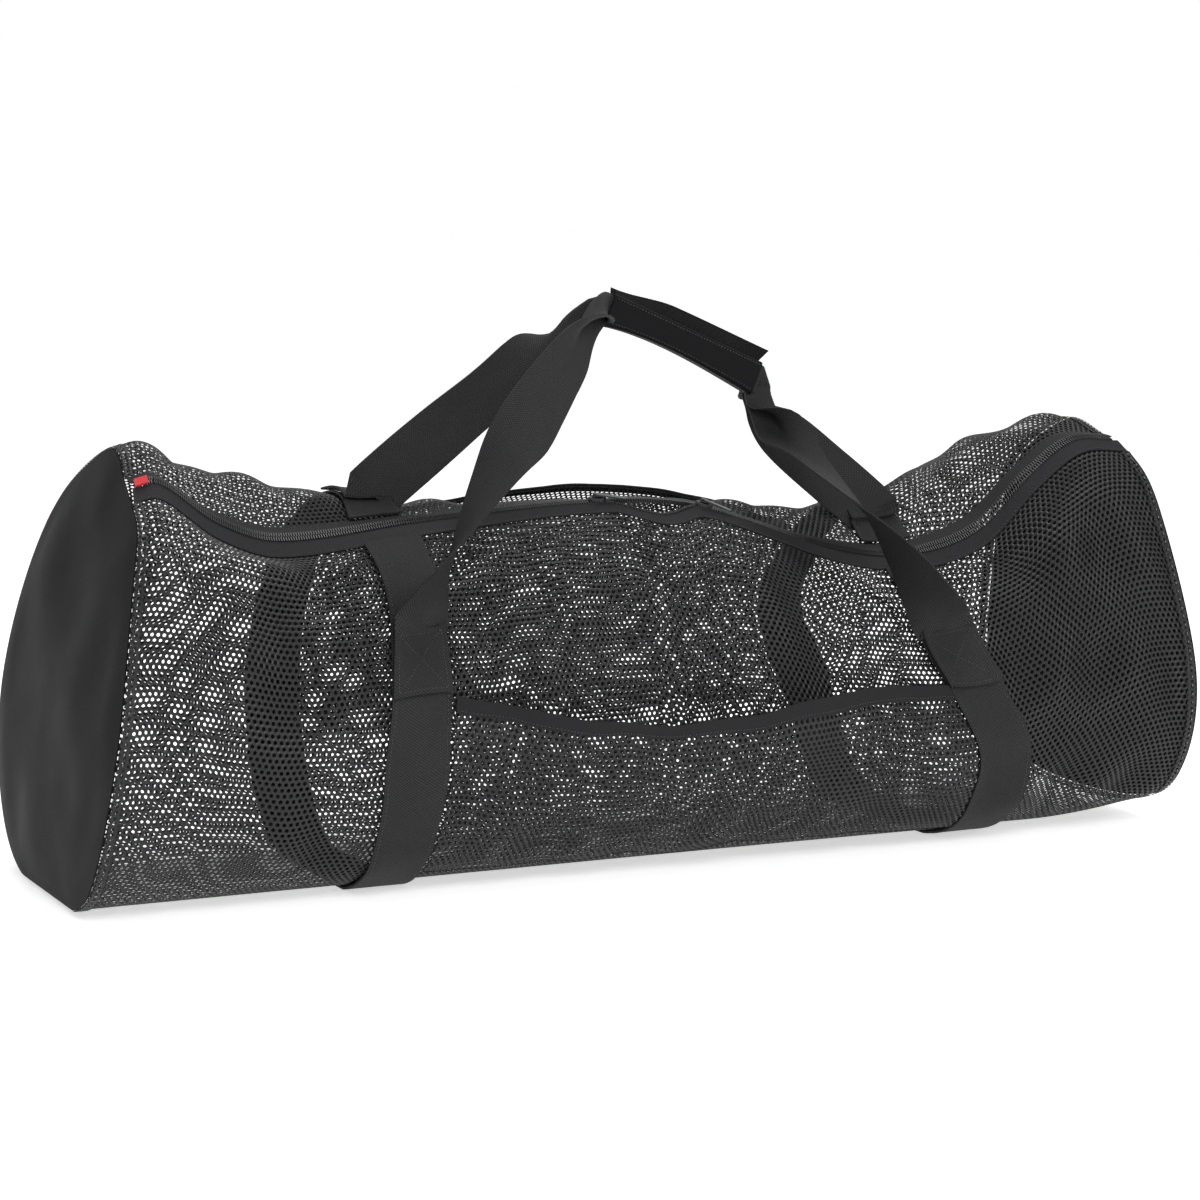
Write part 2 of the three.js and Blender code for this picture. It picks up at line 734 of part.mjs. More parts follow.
function bandGeometry(rows) {
  const bend = Math.PI * foldRadius;
  const places = [-webbingWidth / 2, -bend / 2, 0, bend / 2, webbingWidth / 2];
  return slab(rows.length, places.length, (row, column, side) => (
    rows[row](places[column], (0.5 - side) * webbingThickness)
  ));
}

// Turn of each handle leg about its own line, its fold and the slant of its rows, by the share of
// the way from the strap to the grip. A turn of 0 shows the outer face to the front.
const legs = {
  frontLeft: [
    { at: 0, turn: 0, fold: 0, skew: 0 },
    { at: 0.08, turn: 40, fold: 0, skew: 0 },
    { at: 0.18, turn: 72, fold: 0, skew: 0 },
    { at: 0.28, turn: 93, fold: 0, skew: 0 },
    { at: 0.38, turn: 117, fold: 0, skew: 0 },
    { at: 0.5, turn: 165, fold: 0, skew: 0 },
    { at: 0.62, turn: 187, fold: -0.04, skew: 0 },
    { at: 0.74, turn: 205, fold: -0.2, skew: 0 },
    { at: 0.84, turn: 240, fold: -0.6, skew: 0 },
    { at: 0.92, turn: 270, fold: -1, skew: 0 },
    { at: 1, turn: 270, fold: -1, skew: 0 },
  ],
  frontRight: [
    { at: 0, turn: 0, fold: 0, skew: 0 },
    { at: 0.1, turn: -50, fold: 0, skew: 0 },
    { at: 0.22, turn: -74, fold: 0, skew: 0 },
    { at: 0.34, turn: -95, fold: 0, skew: 0 },
    { at: 0.46, turn: -115, fold: 0, skew: 0 },
    { at: 0.58, turn: -128, fold: 0, skew: 0 },
    { at: 0.7, turn: -145, fold: -0.1, skew: 0 },
    { at: 0.8, turn: -190, fold: -0.4, skew: 0 },
    { at: 0.92, turn: -270, fold: -1, skew: 0 },
    { at: 1, turn: -270, fold: -1, skew: 0 },
  ],
  rearLeft: [
    { at: 0, turn: 180, fold: 0, skew: -0.7 },
    { at: 0.2, turn: 180, fold: 0, skew: -0.2 },
    { at: 0.3, turn: 183, fold: 0, skew: 0 },
    { at: 0.55, turn: 192, fold: 0.03, skew: 0 },
    { at: 0.72, turn: 168, fold: 0.2, skew: 0 },
    { at: 0.84, turn: 120, fold: 0.6, skew: 0 },
    { at: 0.92, turn: 90, fold: 1, skew: 0 },
    { at: 1, turn: 90, fold: 1, skew: 0 },
  ],
  rearRight: [
    { at: 0, turn: 180, fold: 0, skew: 1 },
    { at: 0.2, turn: 180, fold: 0, skew: 0.4 },
    { at: 0.3, turn: 180, fold: 0, skew: 0 },
    { at: 0.6, turn: 188, fold: 0.05, skew: 0 },
    { at: 0.8, turn: 225, fold: 0.5, skew: 0 },
    { at: 0.92, turn: 270, fold: 1, skew: 0 },
    { at: 1, turn: 270, fold: 1, skew: 0 },
  ],
};

// How each leg leaves its seat (lift) and comes to the grip (arrive)
const legWays = {
  frontLeft: {
    drop: seatDropLeft,
    turns: legs.frontLeft,
    lift: new THREE.Vector3(40, -30, 120),
    arrive: new THREE.Vector3(-18, -65, 18),
  },
  frontRight: {
    drop: seatDropRight,
    turns: legs.frontRight,
    lift: new THREE.Vector3(-80, -30, 130),
    arrive: new THREE.Vector3(-4, 24, -47),
  },
  rearLeft: {
    drop: seatDropRear,
    turns: legs.rearLeft,
    lift: new THREE.Vector3(30, 8, 24),
    arrive: new THREE.Vector3(-46, 20, -33),
  },
  rearRight: {
    drop: seatDropRear,
    turns: legs.rearRight,
    lift: new THREE.Vector3(-24, 8, 30),
    arrive: new THREE.Vector3(0, 45, -25),
  },
};

const gripAngle = THREE.MathUtils.degToRad(gripTilt);
const gripAlong = new THREE.Vector3(Math.cos(gripAngle), 0, -Math.sin(gripAngle));
const gripUp = new THREE.Vector3(Math.sin(gripAngle), 0, Math.cos(gripAngle));
const gripMiddle = new THREE.Vector3(gripPlace, 0, gripHeight);
const bandHalf = foldRadius + webbingThickness / 2 + clearance / 2;
const handleOut = strapOut + webbingThickness + handleGap;
const frontWay = new THREE.Vector3(0, -1, 0);

function gripEnd(side, direction) {
  const y = (side === "front" ? -1 : 1) * bandHalf;
  const end = gripMiddle.clone().addScaledVector(gripAlong, direction * (gripLength / 2 + gripMargin));
  end.y += y;
  return end;
}

// Seat: where a handle lies flat on its strap, from its lower end to the end it leaves by
function seatRows(strap, side, drop) {
  const near = shareAtDrop(strap.place, drop, side);
  const far = shareAtDrop(strap.place, drop + seatLength, side);
  const stops = stopsBetween(Math.min(near, far), Math.max(near, far));
  if (side === "front") stops.reverse();
  return stops.map((v) => {
    const middle = strapMiddle(strap, v);
    const way = side === "rear" ? -1 : 1;
    return (distance, rise) => skin(middle + way * distance, v, handleOut + rise);
  });
}

// Leg from the end of a seat up to the grip
function legRows(seat, turns, end, lift, arrive) {
  const from = seat[seat.length - 1](0, 0);
  const start = from.clone().add(lift);
  const near = end.clone().add(arrive);
  const curve = new THREE.CubicBezierCurve3(from, start, near, end);
  const steps = 14;
  return range(steps, (n) => {
    const t = (n + 1) / (steps + 1);
    const tangent = curve.getTangentAt(t);
    const flat = new THREE.Vector3().crossVectors(tangent, frontWay).normalize();
    const facing = new THREE.Vector3().crossVectors(flat, tangent).normalize();
    const angle = THREE.MathUtils.degToRad(track(turns, "turn", t));
    const [cos, sin] = [Math.cos(angle), Math.sin(angle)];
    const across = flat.clone().multiplyScalar(cos).addScaledVector(facing, -sin);
    const out = facing.clone().multiplyScalar(cos).addScaledVector(flat, sin);
    const [fold, skew] = [track(turns, "fold", t), track(turns, "skew", t)];
    return bandRow(curve.getPointAt(t), across, out, fold, tangent, skew);
  });
}

function gripRows(side) {
  const out = gripUp.clone().multiplyScalar(side === "front" ? 1 : -1);
  const across = frontWay.clone().multiplyScalar(side === "front" ? 1 : -1);
  const fold = side === "front" ? -1 : 1;
  return [-1, 0, 1].map((direction) => bandRow(gripEnd(side, direction), across, out, fold));
}

function addHandle(side, left, right) {
  const leftSeat = seatRows(straps.left, side, left.drop);
  const rightSeat = seatRows(straps.right, side, right.drop);
  const leftLeg = legRows(leftSeat, left.turns, gripEnd(side, -1), left.lift, left.arrive);
  const rightLeg = legRows(rightSeat, right.turns, gripEnd(side, 1), right.lift, right.arrive);
  const back = [...rightSeat, ...rightLeg].reverse();
  const turned = back.map((row) => (distance, rise) => row(-distance, rise));
  const rows = [...leftSeat, ...leftLeg, ...gripRows(side), ...turned];
  addPiece(`handle_${side}`, bandGeometry(rows), "webbing");
}

// Grip wrap: a cloth rolled round both handles, with its closing flap standing open on top and
// a strip of loop pile on the flap.
function addGrip() {
  const place = new THREE.Group();
  const axes = new THREE.Matrix4().makeBasis(frontWay.clone().negate(), gripUp, gripAlong);
  place.position.copy(gripMiddle).addScaledVector(gripAlong, -gripLength / 2);
  place.quaternion.setFromRotationMatrix(axes);
  bag.add(place);
  const bandHeight = (webbingWidth - Math.PI * foldRadius) / 2 + foldRadius;
  const halfHeight = (bandHeight + webbingThickness) / 2 + clearance;
  const halfThick = 2 * bandHalf + clearance / 2;
  const w = halfThick - foldRadius;
  const h = halfHeight - foldRadius;
  const top = halfHeight + wrapThickness;
  const corner = (path, right, up, radius) => {
    const from = (right > 0 ? (up > 0 ? 0 : -0.5) : (up > 0 ? 0.5 : 1)) * Math.PI;
    path.absarc(right * w, up * h, radius, from, from + Math.PI / 2, false);
  };
  const outline = new THREE.Shape();
  const outer = foldRadius + wrapThickness;
  corner(outline, 1, -1, outer);
  corner(outline, 1, 1, outer);
  outline.lineTo(w + flapLean, top + flapHeight);
  outline.lineTo(w + flapLean - wrapThickness, top + flapHeight);
  outline.lineTo(w - wrapThickness, top);
  corner(outline, -1, 1, outer);
  corner(outline, -1, -1, outer);
  outline.closePath();
  const inside = new THREE.Path();
  for (const [right, up] of [[1, -1], [1, 1], [-1, 1], [-1, -1]]) {
    corner(inside, right, up, foldRadius);
  }
  inside.closePath();
  outline.holes.push(inside);
  const options = { depth: gripLength, bevelEnabled: false, curveSegments: 3 };
  addPiece("grip_wrap", new THREE.ExtrudeGeometry(outline, options), "fabric", place);
  const lean = Math.atan2(flapLean, flapHeight);
  const strip = new THREE.BoxGeometry(
    loopStripThickness, loopStripWidth, gripLength * loopStripShare,
  );
  const loop = addPiece("grip_loop_strip", strip, "loopPile", place);
  const away = wrapThickness + clearance + loopStripThickness / 2;
  loop.rotation.z = -lean;
  loop.position.set(
    w + (flapLean + away * Math.sin(lean)) / 2 - away,
    top + flapHeight / 2 + away * Math.sin(lean) / 2,
    gripLength / 2,
  );
}

addBody();
addEndPanel("end_panel_left", -1, panelDents);
addEndPanel("end_panel_right", 1, []);
addStrap("strap_left", straps.left);
addStrap("strap_right", straps.right);
addZipper();
addSlider("1", openStart - sliderLength / 2, 1);
addSlider("2", openStart + openLength + sliderLength / 2, -1);
addEndTab();
addPocket("front", pockets.front, 5, 3);
addPocket("rear", pockets.rear, 5, 2);
addHandle("front", legWays.frontLeft, legWays.frontRight);
addHandle("rear", legWays.rearLeft, legWays.rearRight);
addGrip();

// The bag's bounding box is centred on the origin in plan.
const middle = new THREE.Box3().setFromObject(bag, true).getCenter(new THREE.Vector3());
bag.position.set(-middle.x, -middle.y, 0);

export default bag;
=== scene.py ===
import math

import bpy
import numpy as np
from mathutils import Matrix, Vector


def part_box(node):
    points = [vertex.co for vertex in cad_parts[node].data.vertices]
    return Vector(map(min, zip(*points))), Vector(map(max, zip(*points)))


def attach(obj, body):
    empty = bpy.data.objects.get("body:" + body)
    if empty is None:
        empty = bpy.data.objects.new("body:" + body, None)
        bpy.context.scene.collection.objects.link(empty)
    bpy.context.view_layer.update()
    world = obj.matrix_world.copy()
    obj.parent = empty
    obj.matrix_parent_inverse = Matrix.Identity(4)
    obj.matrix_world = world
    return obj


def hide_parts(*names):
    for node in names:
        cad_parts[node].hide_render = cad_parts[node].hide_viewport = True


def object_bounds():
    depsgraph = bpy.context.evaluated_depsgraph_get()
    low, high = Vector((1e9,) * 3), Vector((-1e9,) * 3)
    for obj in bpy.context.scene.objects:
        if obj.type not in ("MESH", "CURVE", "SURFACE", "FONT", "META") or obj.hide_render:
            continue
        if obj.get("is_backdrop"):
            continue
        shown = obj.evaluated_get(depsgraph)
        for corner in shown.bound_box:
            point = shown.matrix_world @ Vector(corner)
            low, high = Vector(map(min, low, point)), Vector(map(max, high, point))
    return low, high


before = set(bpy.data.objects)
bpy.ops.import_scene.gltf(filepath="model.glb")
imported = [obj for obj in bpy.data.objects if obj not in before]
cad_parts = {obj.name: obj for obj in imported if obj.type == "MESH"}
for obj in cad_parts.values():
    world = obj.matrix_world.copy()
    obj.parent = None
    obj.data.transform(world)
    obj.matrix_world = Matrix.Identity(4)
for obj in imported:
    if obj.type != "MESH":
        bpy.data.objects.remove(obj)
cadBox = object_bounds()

# Sizes are in millimetres in this script and turn to metres when a mesh is made.
mm = 0.001
bottomBox, frontBox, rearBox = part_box("mesh_bottom"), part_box("mesh_front"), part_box("mesh_rear")
frameShift = np.array([
    (bottomBox[0].x + bottomBox[1].x) / 2, (frontBox[0].y + rearBox[1].y) / 2, 0.0,
]) / mm
bag = {
    "length": 980.0, "height": 355.0, "depth": 336.0, "zipSetback": 62.0, "ridgeSetback": 20.0,
    "footDepth": 150.0, "netWall": 2.0, "floorRise": 5.6, "webbing": 50.0, "webbingThickness": 1.8,
}
halfLength = bag["length"] / 2
halfDepth = bag["depth"] / 2


def smoothStep(low, high, value):
    t = np.clip((value - low) / (high - low), 0, 1)
    return t * t * (3 - 2 * t)


def unit(vector):
    return vector / np.linalg.norm(vector)


# Distances along a line of points, from its first point.
def runAlong(line):
    return np.concatenate([[0], np.cumsum(np.linalg.norm(np.diff(line, axis=0), axis=1))])


# Value of one column of a table at a place, on a smooth curve through its rows.
def track(rows, column, at):
    i = 0
    while i < len(rows) - 2 and at > rows[i + 1]["at"]:
        i += 1

    def slope(k):
        low, high = rows[max(0, k - 1)], rows[min(len(rows) - 1, k + 1)]
        return (high[column] - low[column]) / (high["at"] - low["at"])

    span = rows[i + 1]["at"] - rows[i]["at"]
    t = min(1, max(0, (at - rows[i]["at"]) / span))
    rise = rows[i + 1][column] - rows[i][column]
    return (rows[i][column] + rise * (3 * t ** 2 - 2 * t ** 3)
            + span * (slope(i) * (t ** 3 - 2 * t ** 2 + t) + slope(i + 1) * (t ** 3 - t ** 2)))


# Sections of the bag from left to right, in shares of its half length, height and half depth.
sectionColumns = ["at", "zip", "ridge", "shoulderOut", "shoulderUp", "reach", "belly", "lift", "lean"]
sections = [dict(zip(sectionColumns, row)) for row in [
    [-1.0, 0.922, 0.988, 0.73, 0.8, 1.0, 0.46, 0.0, 0.183],
    [-0.95, 0.93, 1.0, 0.74, 0.8, 1.0, 0.46, 0.0, 0.17],
    [-0.82, 0.838, 0.938, 0.76, 0.74, 1.0, 0.45, 0.0, 0.145],
    [-0.7, 0.795, 0.91, 0.77, 0.7, 1.0, 0.45, 0.0, 0.12],
    [-0.44, 0.82, 0.84, 0.78, 0.68, 1.0, 0.44, 0.0, 0.07],
    [-0.12, 0.845, 0.82, 0.78, 0.67, 0.98, 0.41, 0.0, 0.02],
    [0.1, 0.828, 0.815, 0.78, 0.64, 0.97, 0.37, 0.0, 0.0],
    [0.38, 0.713, 0.79, 0.79, 0.56, 0.97, 0.3, 0.0, -0.02],
    [0.53, 0.69, 0.797, 0.79, 0.54, 0.98, 0.28, 0.0, -0.034],
    [0.68, 0.74, 0.88, 0.78, 0.62, 0.99, 0.32, 0.0, -0.042],
    [0.8, 0.87, 0.945, 0.75, 0.74, 1.0, 0.36, 0.0, -0.05],
    [0.9, 0.95, 0.985, 0.73, 0.79, 1.0, 0.38, 0.012, -0.055],
    [1.0, 0.95, 0.984, 0.71, 0.8, 1.0, 0.4, 0.035, -0.056],
]]

zipper = {
    "tape": 15.0, "tapeThickness": 1.0, "teeth": 4.8, "teethHeight": 3.4, "gap": 0.7, "clearance": 0.5,
    "openStart": -36.0, "openLength": 88.0, "openWidth": 20.0, "openDrop": 9.0,
    "pitch": 2.3, "sliderLength": 14.0, "sliderWidth": 11.0, "sliderHeight": 4.0,
    "pullerLength": 30.0, "pullerWidth": 8.0, "pullerThickness": 1.4, "pullerTurn": -0.12,
    "pullerDroop": 0.14, "plateLow": -1.7, "plateHigh": 1.6, "bridgeLow": 1.4, "bridgeHalf": (4.5, 1.6),
    "stitchIn": 3.2, "stitchPitch": 3.0, "teethTilt": math.radians(15), "frontTapeFall": math.radians(12),
}
teethSpan = (zipper["gap"] + zipper["clearance"]) / 2 + zipper["teeth"]
tapeSpan = zipper["tape"] + 2.5 * zipper["clearance"]
zipHalfWidth = teethSpan + tapeSpan


def openShare(x):
    t = (x - zipper["openStart"]) / zipper["openLength"]
    return math.sin(math.pi * t) ** 1.5 if 0 < t < 1 else 0.0


# Evenly spaced points on the smooth curve through the given ones, and its length.
def smoothCurve(points, count):
    points = np.array(points)
    last = len(points) - 1
    t = np.linspace(0, last, 601)
    k = np.minimum(np.floor(t).astype(int), last - 1)
    w = (t - k)[:, None]
    p0, p1 = points[np.maximum(k - 1, 0)], points[k]
    p2, p3 = points[np.minimum(k + 1, last)], points[np.minimum(k + 2, last)]
    v0, v1 = (p2 - p0) / 2, (p3 - p1) / 2
    cubic, square = 2 * p1 - 2 * p2 + v0 + v1, -3 * p1 + 3 * p2 - 2 * v0 - v1
    line = cubic * w ** 3 + square * w ** 2 + v0 * w + p1
    steps = runAlong(line)
    even = np.linspace(0, steps[-1], count)
    return np.stack([np.interp(even, steps, line[:, c]) for c in range(points.shape[1])], 1), steps[-1]


def section(x, count):
    at = x / halfLength
    get = lambda column: track(sections, column, at)
    zipHeight, ridgeHeight = get("zip") * bag["height"], get("ridge") * bag["height"]
    shoulderY, shoulderZ = get("shoulderOut") * halfDepth, get("shoulderUp") * bag["height"]
    reach, bellyZ = get("reach") * halfDepth, get("belly") * bag["height"]
    foot, footZ = bag["footDepth"] / 2, bag["floorRise"] + get("lift") * bag["height"]
    slope = 0.6 * math.atan2(ridgeHeight - zipHeight, bag["ridgeSetback"] + bag["zipSetback"])
    tilts = slope + zipper["teethTilt"] * np.array([1, 1, 0])
    tilts = tilts + zipper["frontTapeFall"] * np.array([0, 1, 0])
    ways = np.stack([np.cos(tilts), np.sin(tilts)], 1)
    opening = openShare(x) * np.array([zipper["openWidth"], zipper["openDrop"]])
    middle = np.array([-bag["zipSetback"], zipHeight])
    front = middle - teethSpan * ways[0] - tapeSpan * ways[1] - opening
    rear = middle + teethSpan * ways[0] + tapeSpan * ways[2]
    flank = max(bellyZ * 0.36, footZ + 1)
    points, length = smoothCurve([
        front, [-shoulderY, shoulderZ], [-reach, bellyZ], [-reach * 0.86, flank], [-foot, footZ],
        [foot, footZ], [reach * 0.86, flank], [reach, bellyZ],
        [shoulderY, shoulderZ + 0.4 * (ridgeHeight - zipHeight)], [bag["ridgeSetback"], ridgeHeight],
        rear,
    ], count)
    points[:, 1] = np.maximum(points[:, 1], bag["floorRise"])
    return points, length, front, rear, ways, get("lean") * bag["height"]


# The bag's skin as an even grid: along the bag, and round it from the front tape to the rear tape.
gridX, gridV = 197, 241
stationX = np.linspace(-halfLength, halfLength, gridX)
stations = [section(x, gridV) for x in stationX]
skinLength = np.array([s[1] for s in stations])
edgeFront, edgeRear = np.array([s[2] for s in stations]), np.array([s[3] for s in stations])
zipWays, leanOf = np.array([s[4] for s in stations]), np.array([s[5] for s in stations])
flat = np.array([s[0] for s in stations])
skinPoints = np.stack([
    stationX[:, None] + leanOf[:, None] * (flat[..., 1] / bag["height"]) ** 2, flat[..., 0], flat[..., 1],
], 2)
shareV = np.linspace(0, 1, gridV)


def gridNormals(points):
    along, round_ = np.gradient(points, axis=0), np.gradient(points, axis=1)
    normals = np.cross(round_, along)
    return normals / np.linalg.norm(normals, axis=2, keepdims=True)


# Soft ripples of the slack net: waves along the bag and slanting round it, none at the floor.
ripples = [
    {"size": 1.8, "along": 95.0, "round": 310.0, "shift": 0.4},
    {"size": 1.5, "along": 61.0, "round": -180.0, "shift": 1.9},
    {"size": 1.1, "along": 210.0, "round": 74.0, "shift": 3.1},
]
skinNormals = gridNormals(skinPoints)
lift = np.zeros((gridX, gridV))
for wave in ripples:
    phase = stationX[:, None] / wave["along"] + shareV[None, :] * skinLength[:, None] / wave["round"]
    lift += wave["size"] * np.sin(2 * math.pi * phase + wave["shift"])
away = smoothStep(10, 45, skinPoints[..., 2]) * smoothStep(0, 0.05, shareV)[None, :]
away = away * smoothStep(0, 0.05, 1 - shareV)[None, :]
away = away * smoothStep(0, 25, halfLength - abs(stationX))[:, None]
skinPoints = skinPoints + skinNormals * (lift * away)[..., None]
skinNormals = gridNormals(skinPoints)
print("skin", skinPoints.shape, np.round(skinPoints.min((0, 1))), np.round(skinPoints.max((0, 1))))


def gridMix(grid, x, v):
    place = np.clip((np.asarray(x) / halfLength + 1) / 2, 0, 1) * (gridX - 1)
    share = np.clip(np.asarray(v), 0, 1) * (gridV - 1)
    i, k = np.minimum(place.astype(int), gridX - 2), np.minimum(share.astype(int), gridV - 2)
    a, b = (place - i)[..., None], (share - k)[..., None]
    return ((grid[i, k] * (1 - a) + grid[i + 1, k] * a) * (1 - b)
            + (grid[i, k + 1] * (1 - a) + grid[i + 1, k + 1] * a) * b)


# Points of the bag's skin at places x and shares v, out from the net's inner face.
def skin(x, v, out=0.0):
    x, v = np.broadcast_arrays(np.asarray(x, float), np.asarray(v, float))
    return gridMix(skinPoints, x, v) + gridMix(skinNormals, x, v) * np.asarray(out, float)[..., None]


def alongX(values, x):
    return np.stack([np.interp(x, stationX, values[:, c]) for c in range(values.shape[1])], -1)


# Points of the zipper inward from the net's front or rear edge, and up by out.
def zipAt(x, side, inward, out):
    x, inward, out = np.broadcast_arrays(*(np.asarray(a, float)[..., None] for a in (x, inward, out)))
    edge, way, tape = (edgeFront, 1, 1) if side == "front" else (edgeRear, -1, 2)
    place = x[..., 0]
    teethWay, tapeWay = alongX(zipWays[:, 0], place), alongX(zipWays[:, tape], place)
    face = np.where(inward > tapeSpan, teethWay, tapeWay)
    point = (alongX(edge, place) + way * tapeWay * np.minimum(inward, tapeSpan)
             + way * teethWay * np.maximum(0, inward - tapeSpan))
    y, z = point[..., 0] - face[..., 1] * out[..., 0], point[..., 1] + face[..., 0] * out[..., 0]
    x = place
    lean = np.interp(x, stationX, leanOf)
    return np.stack([x + lean * (z / bag["height"]) ** 2, y, z], -1)


def shareAtHeight(x, height, side):
    v = np.linspace(0, 0.5, 400) if side == "front" else np.linspace(1, 0.5, 400)
    points = skin(np.full(400, float(x)), v)
    seen = points[:, 2] < height
    if side == "rear":
        seen &= np.maximum.accumulate(points[:, 1] > halfDepth / 2)
    return v[np.argmax(seen)]


def shareAtDrop(x, drop, side):
    share = drop / np.interp(x, stationX, skinLength)
    return share if side == "front" else 1 - share


# Materials: the weaves follow the surface's own lengths, kept in metres in its UV map.
def srgb(code):
    parts = [int(code[k:k + 2], 16) / 255 for k in (1, 3, 5)]
    return tuple(c / 12.92 if c <= 0.04045 else ((c + 0.055) / 1.055) ** 2.4 for c in parts) + (1.0,)


def addNode(tree, kind, settings, links):
    node = tree.nodes.new(kind)
    for key, value in settings.items():
        setattr(node, key, value)
    for key, value in links.items():
        if isinstance(value, bpy.types.NodeSocket):
            tree.links.new(value, node.inputs[key])
        else:
            node.inputs[key].default_value = value
    return node


def calc(tree, operation, a, b=0.0):
    return addNode(tree, "ShaderNodeMath", {"operation": operation}, {0: a, 1: b}).outputs[0]


def mixColours(tree, share, a, b):
    return addNode(tree, "ShaderNodeMix", {"data_type": "RGBA"}, {0: share, 6: a, 7: b}).outputs[2]


def noiseOf(tree, place, scale, settings):
    links = {"Vector": place, "Scale": scale, **settings}
    return addNode(tree, "ShaderNodeTexNoise", {}, links).outputs[0]


# A new material, its nodes, its shader, and sums and products of values in it
def newMaterial(name, look):
    material = bpy.data.materials.new(name)
    material.use_nodes = True
    tree = material.node_tree
    shader = tree.nodes["Principled BSDF"]
    shader.inputs["Specular IOR Level"].default_value = look["specular"]
    shader.inputs["Sheen Weight"].default_value = look["sheen"]
    plus = lambda a, b: calc(tree, "ADD", a, b)
    times = lambda a, b: calc(tree, "MULTIPLY", a, b)
    return material, tree, shader, plus, times


# Colour, roughness and relief of a shader from the shares and heights worked out for it
def dressShader(tree, shader, look, share, rough, strength, height):
    colour = mixColours(tree, share, srgb(look["dark"]), srgb(look["light"]))
    tree.links.new(colour, shader.inputs["Base Color"])
    tree.links.new(rough, shader.inputs["Roughness"])
    bump = addNode(tree, "ShaderNodeBump", {}, {
        "Strength": strength, "Distance": look["relief"] * mm, "Height": height,
    })
    tree.links.new(bump.outputs[0], shader.inputs["Normal"])


# Woven cloth: threads across and along the piece, faint wear, and a relief of the weave.
def clothMaterial(name, look):
    look = {**clothBase, **look}
    material, tree, shader, plus, times = newMaterial(name, look)
    uv = addNode(tree, "ShaderNodeTexCoord", {}, {}).outputs["UV"]
    u, v = addNode(tree, "ShaderNodeSeparateXYZ", {}, {0: uv}).outputs[:2]
    threadU = calc(tree, "DIVIDE", u, look["threadU"] * mm)
    odd = calc(tree, "MODULO", calc(tree, "FLOOR", threadU), look["repeat"])
    threadV = calc(tree, "DIVIDE", v, look["threadV"] * mm)
    phase = times(plus(threadV, calc(tree, "DIVIDE", odd, look["repeat"])), 2 * math.pi)
    crown = calc(tree, "ABSOLUTE", calc(tree, "SINE", times(threadU, math.pi)))
    over = times(plus(calc(tree, "SINE", phase), 1.0), 0.5)
    weave = times(plus(times(crown, 0.5), 0.5), over)
    noise = noiseOf(tree, uv, look["noiseScale"], {"Detail": 4.0, "Roughness": 0.6})
    fuzz = noiseOf(tree, uv, 1 / (look["threadV"] * mm) * 0.9, {"Detail": 2.0})
    share = plus(times(weave, look["weaveShare"]), times(noise, look["noiseShare"]))
    share = plus(share, times(fuzz, look["fuzzShare"]))
    rough = plus(times(noise, 0.15), look["roughness"] - 0.075)
    height = plus(weave, times(fuzz, 0.5))
    dressShader(tree, shader, look, share, rough, look["reliefStrength"], height)
    shader.inputs["Sheen Roughness"].default_value = 0.5
    return material


# Yarn, plastic or painted metal with faint uneven tone and gloss.
def plainMaterial(name, look):
    look = {**plainBase, **look}
    material, tree, shader, plus, times = newMaterial(name, look)
    place = addNode(tree, "ShaderNodeTexCoord", {}, {}).outputs["Object"]
    noise = noiseOf(tree, place, look["noiseScale"], {"Detail": 3.0, "Roughness": 0.6})
    rough = plus(times(noise, 0.2), look["roughness"] - 0.1)
    dressShader(tree, shader, look, noise, rough, 0.4, noise)
    shader.inputs["Metallic"].default_value = look["metallic"]
    return material


